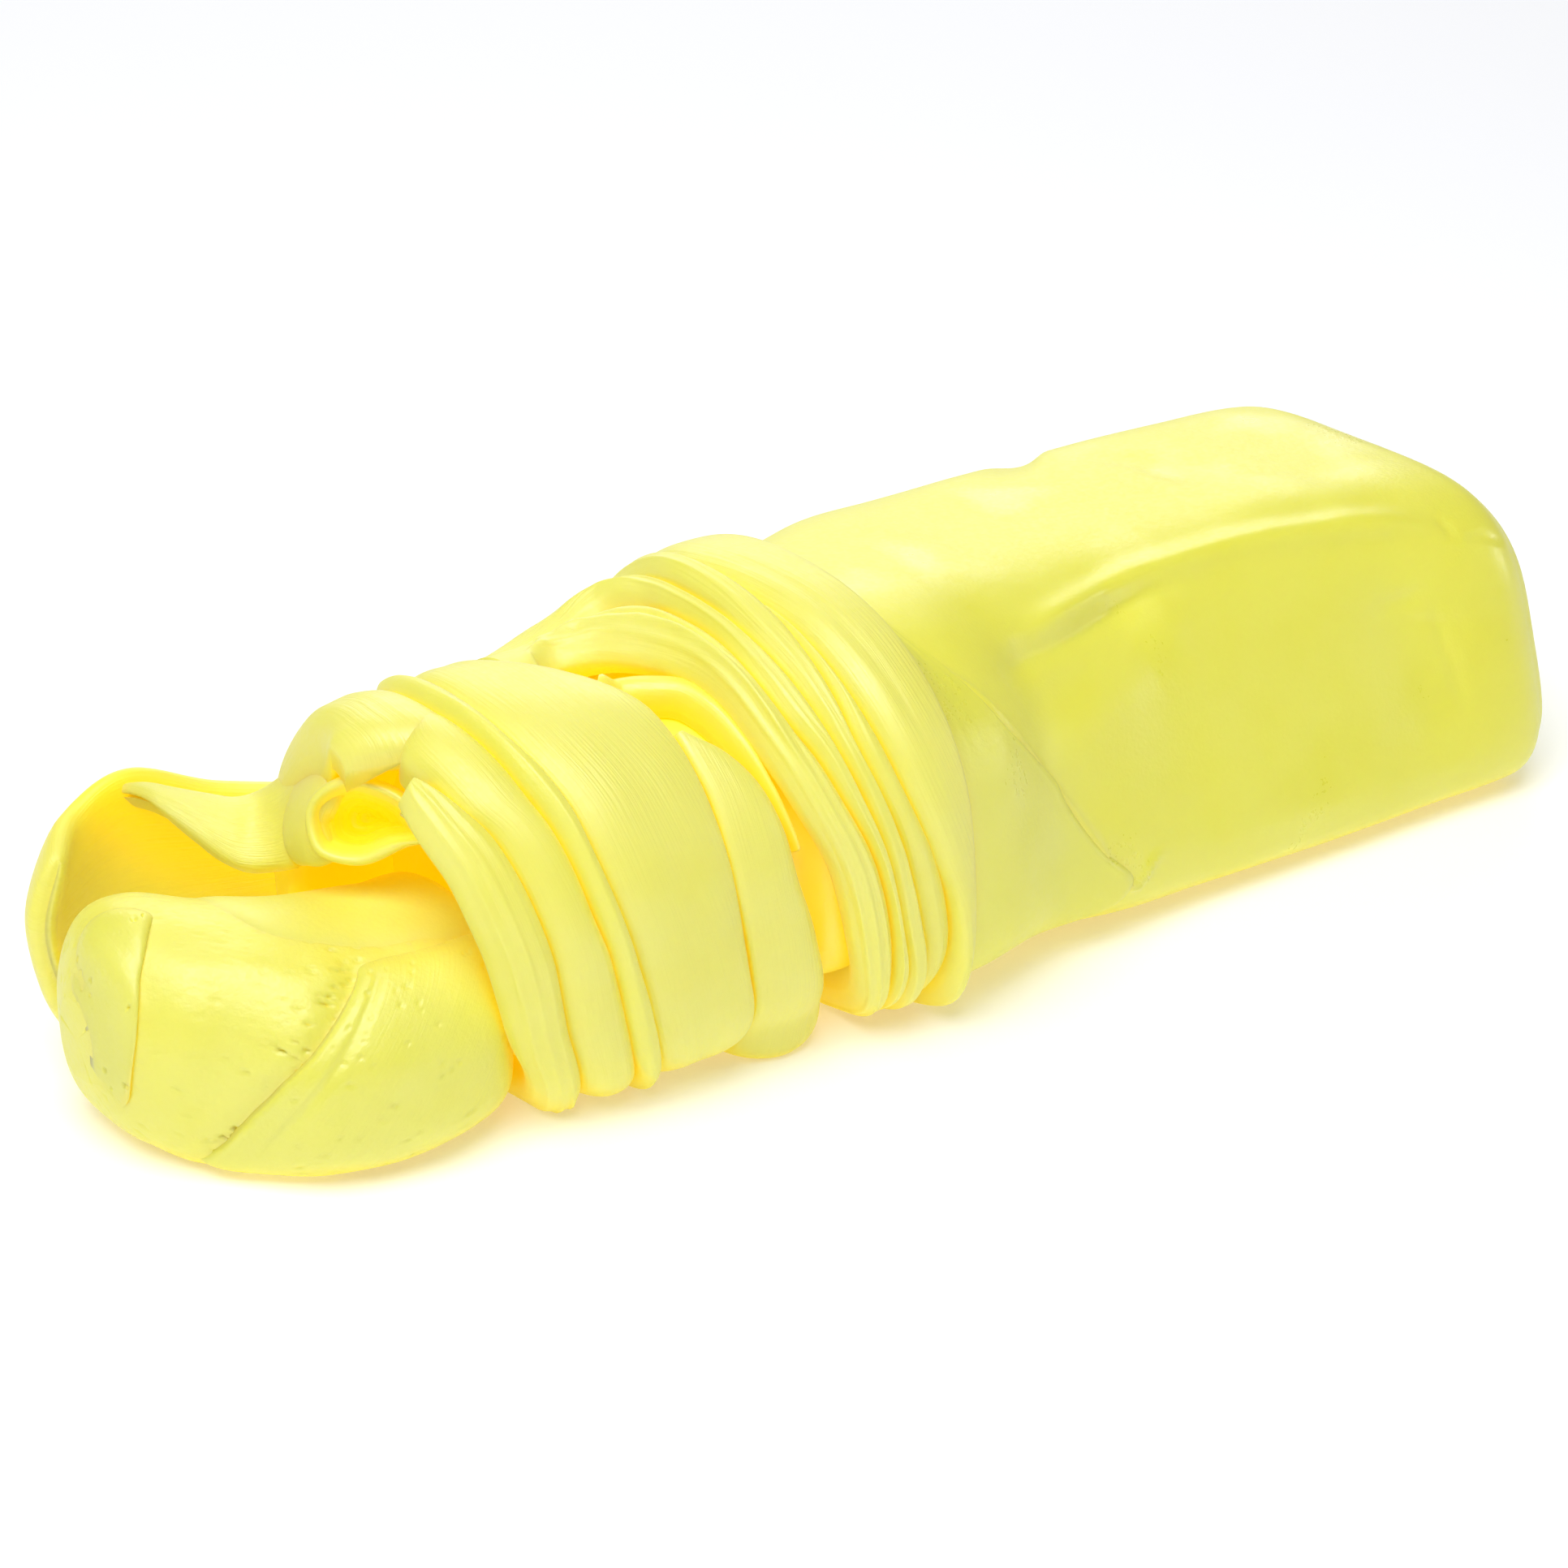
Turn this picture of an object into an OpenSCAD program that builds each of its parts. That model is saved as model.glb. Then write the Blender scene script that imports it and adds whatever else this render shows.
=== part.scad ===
// Detailing clay bar: one lump of clay, a moulded bar at one end, twisted and folded over at the other.
// Millimetres. +X runs along the bar towards its moulded end, +Z is up, the lump rests on z = 0.
// Every fold is its own solid. Folds meet their neighbours and the clay below along their creases.

/* [Bar end] */
// length of the moulded bar from the twisted neck to its far end
bar_length = 57; // [53:1:62]
// width of the moulded bar across its foot
bar_width = 35; // [33:0.5:37]
// height of the moulded bar
bar_height = 22; // [20:0.5:23]

/* [Twisted folds] */
// thickness of the pleats and bands over the clay under them
fold_thickness = 2.6; // [2.2:0.1:3]
// how far the edge of a pleat drops into its crease
crease_depth = 0.9; // [0.4:0.1:1.2]
// thickness of the thin wrap that runs onto the bar
wrap_thickness = 1.1; // [0.7:0.1:1.3]

/* [Folded end] */
// thickness of the sheet that is folded over at the back
sheet_thickness = 2.2; // [1.6:0.1:2.6]
// thickness of the lapped skin and the cap on the front lobe
skin_thickness = 0.8; // [0.5:0.1:1.1]

/* [Colour] */
clay_colour = "#f0e96e"; // [#f0e96e:pale yellow, #e8df50:yellow]

/* [Hidden] */
gap = 0.12;            // hairline left in every crease
ring_n = 40;           // points round a lump
origin = [-3.9, 0.6, 0];   // moves the resting footprint's centre onto the origin

// ---- sections -------------------------------------------------------------------------
// A lump is a table of stations [x, yc, zc, half width, half height, squareness, lean, taper].
function se(v, n) = sign(v) * pow(abs(v), 2 / n);
function at(tab, x) = [for (i = [0:7]) lookup(x, [for (r = tab) [r[0], r[i]]])];
function body(tab, x, f, h = 0) =
  let (p = at(tab, x), n = sin(f) < 0 ? p[5] + 0.7 : p[5],
       s = se(sin(f), n), y = p[6] * s + p[3] * (1 - p[7] * s) * se(cos(f), n), z = p[4] * s,
       k = 1 + h / max(norm([y, z]), 0.01))
  [x, p[1] + y * k, max(p[2] + z * k, 0)];

// closed skin through rings of equal length, with a fan over each end
module skin(rings) {
  n = len(rings[0]); m = len(rings);
  pts = [for (r = rings) each r];
  ends = [for (r = [rings[0], rings[m - 1]]) [for (i = [0:2]) sum([for (p = r) p[i]]) / n]];
  polyhedron(concat(pts, ends), concat(
    [for (k = [0:m - 2], j = [0:n - 1]) let (a = k * n + j, b = k * n + (j + 1) % n) each
      [[a, b, b + n], [a, b + n, a + n]]],
    [for (j = [0:n - 1]) [(j + 1) % n, j, m * n]],
    [for (j = [0:n - 1]) [(m - 1) * n + j, (m - 1) * n + (j + 1) % n, m * n + 1]]), convexity = 6);
}
function sum(v) = v * [for (i = v) 1];

module lump(tab, xs, h = 0)
  skin([for (x = xs) [for (j = [0:ring_n - 1]) body(tab, x, -360 * j / ring_n, h)]]);

// A strip lies on a lump between two creases. Each row is [x1, angle1, x2, angle2].
function row_at(rows, t) = let (i = min(floor(t), len(rows) - 2), u = t - i)
  rows[i] * (1 - u) + rows[i + 1] * u;
module strip(tab, rows, t_in, t_out, drop, cols = 5, per = 2) {
  m = (len(rows) - 1) * per;
  skin([for (k = [0:m]) let (r = row_at(rows, k / per), e = min(k, m - k, 2) / 2) concat(
    [for (j = [0:cols]) let (u = 0.02 + 0.96 * j / cols, v = 2 * u - 1)
      body(tab, r[0] + (r[2] - r[0]) * u, r[1] + (r[3] - r[1]) * u,
        t_in + (t_out - drop * pow(abs(v), 3) - t_in) * (1 + e) / 2)],
    [for (j = [cols:-1:0]) let (u = 0.02 + 0.96 * j / cols)
      body(tab, r[0] + (r[2] - r[0]) * u, r[1] + (r[3] - r[1]) * u, t_in)])]);
}

// A sheet is a grid of points given a thickness along its own normal.
function cat(a, b, c, d, u) = 0.5 * (2 * b + (c - a) * u + (2 * a - 5 * b + 4 * c - d) * u * u
  + (3 * b - a - 3 * c + d) * u * u * u);
function fine(v, per) = [for (i = [0:len(v) - 2], k = [0:per - 1])
  cat(v[max(i - 1, 0)], v[i], v[i + 1], v[min(i + 2, len(v) - 1)], k / per), v[len(v) - 1]];
function turned(g) = [for (j = [0:len(g[0]) - 1]) [for (r = g) r[j]]];
module sheet(g0, t) {
  g = turned([for (r = turned([for (r = g0) fine(r, 3)])) fine(r, 3)]);
  a = len(g); b = len(g[0]);
  nrm = [for (i = [0:a - 1]) [for (j = [0:b - 1])
    let (c = cross(g[min(i + 1, a - 1)][j] - g[max(i - 1, 0)][j],
                   g[i][min(j + 1, b - 1)] - g[i][max(j - 1, 0)])) c / norm(c)]];
  skin([for (i = [0:a - 1]) concat(
    [for (j = [0:b - 1]) g[i][j] + nrm[i][j] * t / 2],
    [for (j = [b - 1:-1:0]) g[i][j] - nrm[i][j] * t / 2])]);
}

// ---- the lumps ------------------------------------------------------------------------
bw = bar_width / 2; bh = bar_height / 2; x0 = 0.6; xe = x0 + bar_length;
BAR = [
  [x0,      -2.0, 12.4, 15.4, 12.3, 2.3, 1.4, 0],
  [x0 + 4,  -1.4, 12.1, 15.6, 12.0, 2.4, 1.5, 0],
  [x0 + 10,  0.8, bh + 0.8, bw - 2.2, bh + 0.6, 2.8, 2.0, 0.08],
  [x0 + 16,  1.6, bh + 0.3, bw - 2.2, bh + 0.3, 3.4, 2.2, 0.14],
  [x0 + 24,  2.2, bh, bw - 2.4, bh, 4.2, 2.2, 0.18],
  [xe - 14,  2.0, bh - 0.2, bw - 2.2, bh - 0.2, 4.8, 2.0, 0.17],
  [xe - 6,   1.4, bh - 0.4, bw - 1.8, bh - 0.4, 4.8, 1.6, 0.13],
  [xe - 2.4, 1.2, bh - 0.6, bw - 2.6, bh - 1.4, 4.2, 1.4, 0.12],
  [xe - 0.8, 1.0, bh - 0.7, bw - 4.2, bh - 3.0, 3.6, 1.2, 0.11],
  [xe,       0.8, bh - 0.7, bw - 6.6, bh - 5.2, 3.2, 1.0, 0.1]];
TWIST = [
  [-38,  0.0, 12.0,  8.0,  8.0, 2.2, 0.0, 0],
  [-34, -1.0, 12.0, 10.4, 10.2, 2.2, 0.2, 0],
  [-28, -2.2, 11.9, 12.2, 12.0, 2.2, 0.4, 0],
  [-22, -3.2, 11.8, 12.8, 12.2, 2.2, 0.6, 0],
  [-16, -3.2, 11.9, 13.2, 11.8, 2.2, 0.8, 0],
  [-10, -2.8, 12.3, 14.4, 12.1, 2.2, 1.0, 0],
  [ -4, -2.3, 12.8, 15.6, 12.7, 2.3, 1.3, 0],
  [  2, -2.0, 12.9, 16.2, 12.9, 2.3, 1.5, 0],
  [  8, -1.0, 12.4, 17.0, 12.4, 2.6, 1.6, 0]];
LOBE = [
  [-49.8,  2.6, 7.0,  2.0,  2.6, 2.2, 0, 0],
  [-49.0,  2.2, 7.0,  4.4,  4.8, 2.2, 0, 0],
  [-47.4,  1.8, 7.1,  6.4,  6.4, 2.3, 0.8, 0],
  [-44.5,  0.6, 7.1,  8.2,  7.1, 2.4, 1.6, 0],
  [-41,   -1.6, 6.8,  9.2,  6.8, 2.5, 1.4, 0],
  [-36,   -3.2, 6.4,  9.2,  6.4, 2.6, 0.8, 0],
  [-31,   -3.4, 6.2,  8.6,  6.2, 2.6, 0.2, 0],
  [-28,   -2.6, 6.0,  7.4,  6.0, 2.5, 0, 0],
  [-26.6, -2.0, 6.0,  5.8,  5.2, 2.3, 0, 0]];

// ---- moulded bar and the wrap on its shoulder -------------------------------------------
module bar_block() color(clay_colour)
  lump(BAR, [x0, x0 + 2, x0 + 4, x0 + 7, x0 + 10, x0 + 13, x0 + 16, x0 + 20, x0 + 24,
    xe - 24, xe - 19, xe - 14, xe - 10, xe - 6, xe - 4, xe - 2.4, xe - 1.6, xe - 0.8, xe - 0.4, xe]);
module shoulder_wrap() color(clay_colour)
  strip(BAR, [[x0 + 0.1, 103, x0 + 0.7, 102], [x0 + 0.1, 110, x0 + 0.9, 109], [x0 + 0.1, 120, x0 + 1.2, 118],
    [x0 + 0.1, 132, x0 + 2.4, 130], [x0 + 0.1, 146, x0 + 4.0, 144], [x0 + 0.1, 160, x0 + 5.8, 158],
    [x0 + 0.1, 174, x0 + 8.6, 173], [x0 + 0.1, 188, x0 + 12.4, 187], [x0 + 0.1, 202, x0 + 15.6, 199],
    [x0 + 0.1, 214, x0 + 14.0, 214], [x0 + 0.1, 228, x0 + 9.0, 228], [x0 + 0.1, 242, x0 + 4.4, 240]],
    gap, wrap_thickness, wrap_thickness * 0.5, 6, 2);

// ---- collar: nested pleats round the neck -----------------------------------------------
module pleat(rows, lift = 0) color(clay_colour)
  strip(TWIST, rows, -fold_thickness, lift, crease_depth, 5, 2);
xr = x0 - 0.1;
module collar_pleat_1() pleat([[-4.6, -50, xr, -50], [-4.7, -32, xr, -32], [-4.7, -14, xr, -14],
  [-4.7, 4, xr, 4], [-4.6, 22, xr, 22], [-4.5, 40, xr, 40], [-5.0, 58, xr, 58], [-5.3, 76, xr, 76],
  [-5.0, 90, xr, 90], [-4.6, 104, xr, 104], [-4.4, 120, xr, 120], [-4.3, 136, xr, 136],
  [-3.9, 152, xr, 152], [-3.3, 166, xr, 166], [-2.3, 179, xr, 179], [-1.0, 190, xr, 190],
  [-0.6, 203, xr, 203], [-0.6, 220, xr, 220], [-0.7, 234, xr, 234], [-0.8, 247, xr, 247],
  [-0.8, 258, xr, 258]], 0.3);
module collar_pleat_2() pleat([[-5.1, 109, -4.6, 109], [-5.2, 119, -4.6, 119], [-5.3, 132, -4.5, 132],
  [-5.5, 146, -4.2, 146], [-5.1, 160, -3.7, 160], [-4.2, 175, -2.8, 173], [-3.2, 188, -1.3, 188],
  [-2.4, 203, -0.8, 203], [-2.1, 222, -0.8, 220], [-2.0, 235, -0.9, 234], [-2.0, 248, -1.0, 247],
  [-2.0, 258, -1.0, 258]], -0.1);
module collar_pleat_3() pleat([[-7.2, -50, -4.9, -50], [-7.2, -30, -4.9, -30], [-7.2, -10, -4.9, -10],
  [-7.2, 10, -4.9, 10], [-7.2, 30, -4.8, 30], [-7.2, 50, -5.1, 50], [-7.2, 66, -5.4, 66],
  [-7.2, 80, -5.5, 80], [-7.2, 94, -5.1, 94], [-7.2, 106, -5.0, 106], [-7.1, 118, -5.2, 118],
  [-7.0, 132, -5.5, 132], [-6.8, 146, -5.7, 146], [-6.3, 160, -5.3, 160], [-5.6, 175, -4.4, 175],
  [-4.8, 188, -3.4, 188], [-4.0, 203, -2.6, 203], [-3.6, 222, -2.3, 222], [-3.4, 235, -2.2, 235],
  [-3.3, 248, -2.2, 248],
  [-3.3, 258, -2.2, 258]], 0.1);
module collar_pleat_4() pleat([[-20.2, -50, -7.4, -50], [-20.4, -30, -7.4, -30], [-20.4, -12, -7.4, -12],
  [-20.4, 6, -7.4, 4], [-20.4, 24, -7.4, 18], [-20.2, 40, -7.4, 32], [-18.4, 50, -7.4, 44],
  [-13.4, 54, -7.4, 52], [-10.2, 60, -7.4, 60], [-8.7, 72, -7.4, 72], [-8.5, 84, -7.4, 84],
  [-8.5, 96, -7.4, 96], [-8.7, 108, -7.4, 108], [-8.9, 120, -7.3, 120], [-8.8, 132, -7.2, 132],
  [-8.1, 146, -7.0, 146], [-7.4, 160, -6.6, 160], [-6.3, 175, -5.8, 175], [-5.3, 188, -5.0, 188],
  [-4.8, 203, -4.2, 203], [-4.4, 222, -3.8, 222], [-4.2, 235, -3.6, 235], [-4.1, 247, -3.5, 247],
  [-4.1, 258, -3.5, 258]], 0.4);
module collar_pleat_5() pleat([[-19.7, 68, -19.9, 54], [-17.6, 68, -17.4, 56], [-15.6, 70, -14.0, 60],
  [-14.0, 77, -10.8, 66], [-12.9, 86, -9.2, 76], [-12.0, 95, -8.9, 88], [-11.3, 106, -8.9, 102],
  [-11.0, 118, -9.1, 117], [-10.9, 132, -9.1, 132], [-10.5, 146, -8.4, 146], [-9.8, 160, -7.7, 160],
  [-8.7, 175, -6.6, 175], [-7.8, 188, -5.6, 188], [-7.0, 203, -5.1, 203], [-6.1, 220, -4.7, 220],
  [-5.6, 234, -4.5, 234], [-5.4, 246, -4.4, 246],
  [-5.4, 258, -4.4, 258]], -0.2);

// ---- neck under the collar, and the fold at the bottom of the hollow -----------------------
dip = 1.2;   // how far the neck is drawn in where the hollow is
CORE = [for (x = [-16, -15, -13.5, -11, -9, -7.5, -4, 0.5])
  at(TWIST, x) - (x > -16 && x < -7.5 ? [0, 0, 0, dip, dip * 0.6, 0, 0, 0] : [0, 0, 0, 0, 0, 0, 0, 0])];
module neck_core() color(clay_colour)
  lump(CORE, [-15.8, -15, -13.5, -12, -11, -9, -7.5, -5.5, -4, -2, 0.4], -fold_thickness - gap);
module inner_fold() color(clay_colour)
  strip(CORE, [[-15.9, 91, -13.4, 90], [-15.7, 97, -12.8, 96], [-15.3, 103, -12.4, 102],
    [-15.0, 109, -12.2, 108], [-14.6, 115, -12.3, 114], [-14.1, 120, -12.7, 120]],
    -fold_thickness, -0.5, 0.8, 4, 2);

// ---- second lobe: band, ribs and the strand that curls over --------------------------------
module band_shelf() pleat([[-15.5, 123, -14.9, 123], [-15.5, 133, -13.1, 132], [-15.4, 145, -11.9, 145],
  [-15.4, 160, -11.3, 160], [-15.2, 176, -10.9, 176], [-14.6, 189, -9.9, 189], [-13.9, 206, -8.9, 206],
  [-13.6, 222, -8.1, 222], [-14.0, 235, -7.6, 235], [-14.4, 247, -7.4, 247],
  [-14.4, 258, -7.4, 258]], -0.5);
module broad_band() pleat([[-23.0, -50, -20.6, -50], [-23.2, -30, -20.6, -30], [-23.4, -12, -20.6, -12],
  [-23.6, 6, -20.6, 6], [-23.9, 24, -20.6, 24], [-24.4, 42, -20.6, 42], [-25.0, 58, -20.5, 58],
  [-25.5, 72, -20.0, 72], [-25.7, 84, -18.8, 82], [-25.7, 96, -16.9, 95], [-25.5, 108, -15.9, 108],
  [-25.2, 120, -15.7, 120], [-24.5, 136, -15.7, 136], [-24.1, 150, -15.7, 150], [-23.6, 164, -15.6, 164],
  [-22.8, 178, -15.4, 178], [-21.8, 191, -14.9, 191], [-20.9, 206, -14.2, 206], [-20.0, 222, -13.8, 222],
  [-19.5, 235, -14.2, 235], [-19.2, 247, -14.6, 247],
  [-19.2, 258, -14.6, 258]], 0.3);
module seam_ridge() pleat([[-27.0, 56, -25.3, 58], [-27.4, 70, -25.7, 72], [-27.5, 84, -25.9, 84],
  [-27.2, 98, -25.9, 96], [-26.8, 112, -25.7, 110], [-26.4, 126, -25.1, 124], [-25.8, 140, -24.6, 138],
  [-25.3, 154, -24.3, 152], [-24.8, 167, -23.7, 166], [-24.0, 180, -22.9, 180], [-23.2, 193, -21.9, 192],
  [-22.4, 208, -21.0, 207], [-21.4, 223, -20.2, 222], [-20.9, 236, -19.8, 235], [-20.6, 249, -19.5, 248],
  [-20.6, 258, -19.5, 258]], 0.4);
module mid_pleat() pleat([[-31.4, 106, -27.3, 100], [-30.8, 117, -26.9, 114], [-30.2, 129, -26.5, 128],
  [-29.2, 141, -25.9, 142], [-28.5, 155, -25.4, 156], [-27.9, 168, -24.9, 169], [-27.2, 182, -24.0, 182],
  [-26.6, 195, -23.2, 195], [-25.7, 210, -22.4, 210], [-24.8, 227, -21.5, 225], [-24.1, 243, -20.9, 240],
  [-24.1, 258, -20.9, 258]], 0.1);
module curl_strand() pleat([[-35.2, 102, -33.7, 94], [-34.6, 113, -32.5, 103], [-33.5, 125, -31.3, 115],
  [-32.5, 137, -30.4, 128], [-31.9, 151, -29.4, 141], [-31.4, 165, -28.7, 155], [-30.8, 177, -28.1, 168],
  [-30.1, 189, -27.4, 182], [-29.4, 201, -26.8, 195], [-28.4, 214, -25.9, 210], [-27.6, 229, -25.0, 227],
  [-26.9, 246, -24.3, 244],
  [-26.9, 258, -24.3, 258]], 0.4);
module lobe_core() color(clay_colour)
  lump(TWIST, [-26.4, -25, -23, -21, -19, -17.5, -16], -fold_thickness - gap);

// ---- curl: roof over the pocket, and the rolled clay inside it -----------------------------
module curl_roof() pleat([[-33.0, -40, -23.2, -44], [-33.4, -24, -23.4, -28], [-33.6, -6, -23.6, -10],
  [-33.6, 12, -23.8, 8], [-33.6, 28, -24.1, 26], [-33.6, 44, -24.6, 42], [-33.6, 58, -27.2, 56],
  [-33.6, 70, -27.6, 70], [-33.5, 82, -27.7, 84], [-32.9, 92, -27.4, 93], [-31.8, 100, -27.4, 98]], 0.2);
module curl_core() color(clay_colour)
  skin([for (x = [-34.2:0.7:-27.2]) let (u = (x + 34.2) / 7, k = pow(max(u, 0.03), 0.35))
    [for (j = [0:29]) [x, 2.4 - 1.6 * u + 5.0 * k * cos(12 * j), 15.6 + 0.4 * u - 3.0 * k * sin(12 * j)]]]);

// ---- folded-over sheet at the back ----------------------------------------------------------
module rear_drape() color(clay_colour)
  sheet([[[-41.0, 12.2, 15.4], [-40.4, 11.4, 16.9], [-40.4, 10.4, 16.6], [-40.2, 9.6, 15.4]],
    [[-37.4, 11.8, 14.4], [-37.4, 10.8, 15.8], [-38.2, 9.0, 15.4], [-38.6, 7.8, 14.2]],
    [[-35.4, 11.0, 13.8], [-35.4, 9.8, 15.1], [-36.6, 7.6, 14.5], [-37.2, 6.2, 13.0]],
    [[-34.9, 10.4, 13.6], [-34.9, 9.0, 15.0], [-35.5, 6.8, 14.3], [-36.0, 5.2, 12.6]]], sheet_thickness);
module rear_loop() color(clay_colour)
  sheet([[[-46.2, 10.2, 1.4], [-47, 10.2, 5.6], [-47.4, 10, 10.4], [-46.2, 10, 14.2]],
    [[-44.4, 13.2, 1.4], [-45, 13.6, 5.6], [-45, 13.4, 10.8], [-43.6, 12.8, 15.4]],
    [[-40, 14.4, 1.4], [-40.4, 15.0, 6], [-40.4, 15.0, 11.4], [-39.8, 14.2, 15.8]],
    [[-34.3, 13.2, 1.4], [-34.3, 13.8, 6], [-34.3, 13.8, 10.8], [-34.3, 13.2, 14.4]],
    [[-29, 11.6, 1.4], [-29, 12.0, 6], [-29, 12.0, 10.4], [-29, 11.4, 13.4]]], sheet_thickness);

// ---- front lobe, its lapped skin, its cap, and the flat web behind it ------------------------
module valley_web() color(clay_colour)
  strip(LOBE, [[-41.0, 100, -41.4, 62], [-39.5, 104, -39.5, 58], [-37.5, 108, -37.5, 54],
    [-35.5, 111, -35.5, 52], [-33, 114, -33, 52], [-30.5, 116, -30.5, 52], [-28.4, 114, -28.4, 54],
    [-27.2, 108, -27.2, 58]], gap, 0.7, 0.25, 8, 2);
module front_lobe() color(clay_colour)
  lump(LOBE, [-49.8, -49.5, -49.0, -48.2, -47.4, -46, -44.5, -43, -41, -38.5, -36, -33.5, -31, -29.5, -28,
    -27.2, -26.6]);
module lapped_fold() color(clay_colour)
  strip(LOBE, [[-36.2, 120, -28.4, 118], [-37.2, 131, -28.2, 131], [-38.6, 144, -28.0, 146],
    [-40.0, 158, -28.0, 160], [-41.4, 172, -28.0, 174], [-43.2, 186, -28.2, 188], [-44.4, 200, -28.4, 202],
    [-45.2, 214, -28.8, 216], [-45.8, 228, -29.4, 230]], gap, skin_thickness, skin_thickness * 0.4, 7, 2);
module tip_cap() color(clay_colour)
  strip(LOBE, [[-45.6, 70, -44.2, 88], [-47.2, 74, -45.2, 100], [-48.4, 84, -46.6, 116],
    [-49.1, 104, -47.8, 134], [-49.4, 132, -48.6, 158], [-49.5, 166, -49.0, 184],
    [-49.5, 196, -49.1, 206]], gap, skin_thickness, skin_thickness * 0.4, 5, 2);

translate(origin) {
  bar_block();
  shoulder_wrap();
  collar_pleat_1();
  collar_pleat_2();
  collar_pleat_3();
  collar_pleat_4();
  collar_pleat_5();
  neck_core();
  inner_fold();
  band_shelf();
  broad_band();
  seam_ridge();
  mid_pleat();
  curl_strand();
  lobe_core();
  curl_roof();
  curl_core();
  rear_drape();
  rear_loop();
  valley_web();
  front_lobe();
  lapped_fold();
  tip_cap();
}
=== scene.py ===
import math

import bpy
import numpy as np
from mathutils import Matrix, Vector


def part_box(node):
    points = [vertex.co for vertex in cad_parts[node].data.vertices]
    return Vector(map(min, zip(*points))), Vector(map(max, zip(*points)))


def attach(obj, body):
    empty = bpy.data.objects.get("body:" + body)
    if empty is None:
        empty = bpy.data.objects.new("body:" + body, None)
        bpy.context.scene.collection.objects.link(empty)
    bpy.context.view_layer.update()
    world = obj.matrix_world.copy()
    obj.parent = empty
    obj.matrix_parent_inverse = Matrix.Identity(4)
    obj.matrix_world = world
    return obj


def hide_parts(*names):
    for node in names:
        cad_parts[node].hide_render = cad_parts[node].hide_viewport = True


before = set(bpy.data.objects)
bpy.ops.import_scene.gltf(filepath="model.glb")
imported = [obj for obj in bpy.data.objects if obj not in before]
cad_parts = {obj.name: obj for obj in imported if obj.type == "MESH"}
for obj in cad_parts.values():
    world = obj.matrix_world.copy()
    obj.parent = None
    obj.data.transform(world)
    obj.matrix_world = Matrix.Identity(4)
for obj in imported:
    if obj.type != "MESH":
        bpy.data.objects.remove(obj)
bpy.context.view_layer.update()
MM = 0.001   # shapes are worked out in millimetres

# ---- the moulded bar -------------------------------------------------------------------
# One end of the lump keeps the shape of the box it was moulded in: a rounded brick of dense,
# waxy clay with a flat foot, a fingered top and a bruised end. Nothing fixes it to the rest;
# the same clay runs on into the twisted folds.


def smooth_rows(table, at):
    """Rows of a table at the fractional row numbers in at, on a smooth curve through the rows."""
    rows = np.asarray(table, float)
    last = len(rows) - 1
    k = np.clip(np.floor(at).astype(int), 0, last - 1)
    u = (at - k)[..., None]
    before, after = rows[np.maximum(k - 1, 0)], rows[np.minimum(k + 2, last)]
    a, b = rows[k], rows[k + 1]
    bend = 2 * before - 5 * a + 4 * b - after
    return 0.5 * (2 * a + (b - before) * u + bend * u**2 + (3 * a - before - 3 * b + after) * u**3)


def section_at(stations, x):
    """The section of a lump at each x, on a curve with matching slopes at its stations."""
    s = np.asarray(stations, float)
    xs, vals = s[:, 0], s[:, 1:]
    slope = np.gradient(vals, xs, axis=0)
    step = np.diff(xs)[:, None]
    rise = np.diff(vals, axis=0) / step
    for i in range(len(rise)):   # no overshoot between stations
        for j in (i, i + 1):
            slope[j] = np.where(slope[j] * rise[i] <= 0, 0, slope[j])
            slope[j] = np.sign(slope[j]) * np.minimum(np.abs(slope[j]), 3 * np.abs(rise[i]))
    x = np.clip(x, xs[0], xs[-1])
    i = np.clip(np.searchsorted(xs, x, side="right") - 1, 0, len(xs) - 2)
    h = (xs[i + 1] - xs[i])[..., None]
    t = ((x - xs[i])[..., None]) / h
    return (vals[i] * (1 + 2 * t) * (1 - t) ** 2 + slope[i] * h * t * (1 - t) ** 2
            + vals[i + 1] * t**2 * (3 - 2 * t) + slope[i + 1] * h * t**2 * (t - 1))


def rounded(v, n):
    return np.sign(v) * np.abs(v) ** (2 / n)


FOOT_SQUARENESS = 0.7   # how much squarer a section is under its middle


def on_lump(stations, x, angle, raised=0.0):
    """Points on a lump: 0 degrees is its far side, 90 the top, 180 the near side, 270 the foot."""
    x, angle, raised = np.broadcast_arrays(np.asarray(x, float), np.asarray(angle, float), raised)
    yc, zc, wide, high, square, lean, taper = np.moveaxis(section_at(stations, x), -1, 0)
    c, s = np.cos(np.radians(angle)), np.sin(np.radians(angle))
    square = square + FOOT_SQUARENESS * np.clip(-s * 4, 0, 1)
    s = rounded(s, square)
    y = lean * s + wide * (1 - taper * s) * rounded(c, square)
    z = high * s
    k = 1 + raised / np.maximum(np.hypot(y, z), 0.01)
    return np.stack([x, yc + y * k, np.maximum(zc + z * k, 0.0)], -1)


def even_angles(stations, x, count):
    """Angles that space the points of each ring evenly along it."""
    fine = np.linspace(0, 360, 1441)
    out = np.empty((len(x), count))
    for i, xi in enumerate(x):
        ring = on_lump(stations, np.full(fine.shape, xi), fine)
        run = np.concatenate([[0], np.cumsum(np.linalg.norm(np.diff(ring, axis=0), axis=1))])
        out[i] = np.interp(np.linspace(0, run[-1], count + 1)[:-1], run, fine)
    return out


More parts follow.
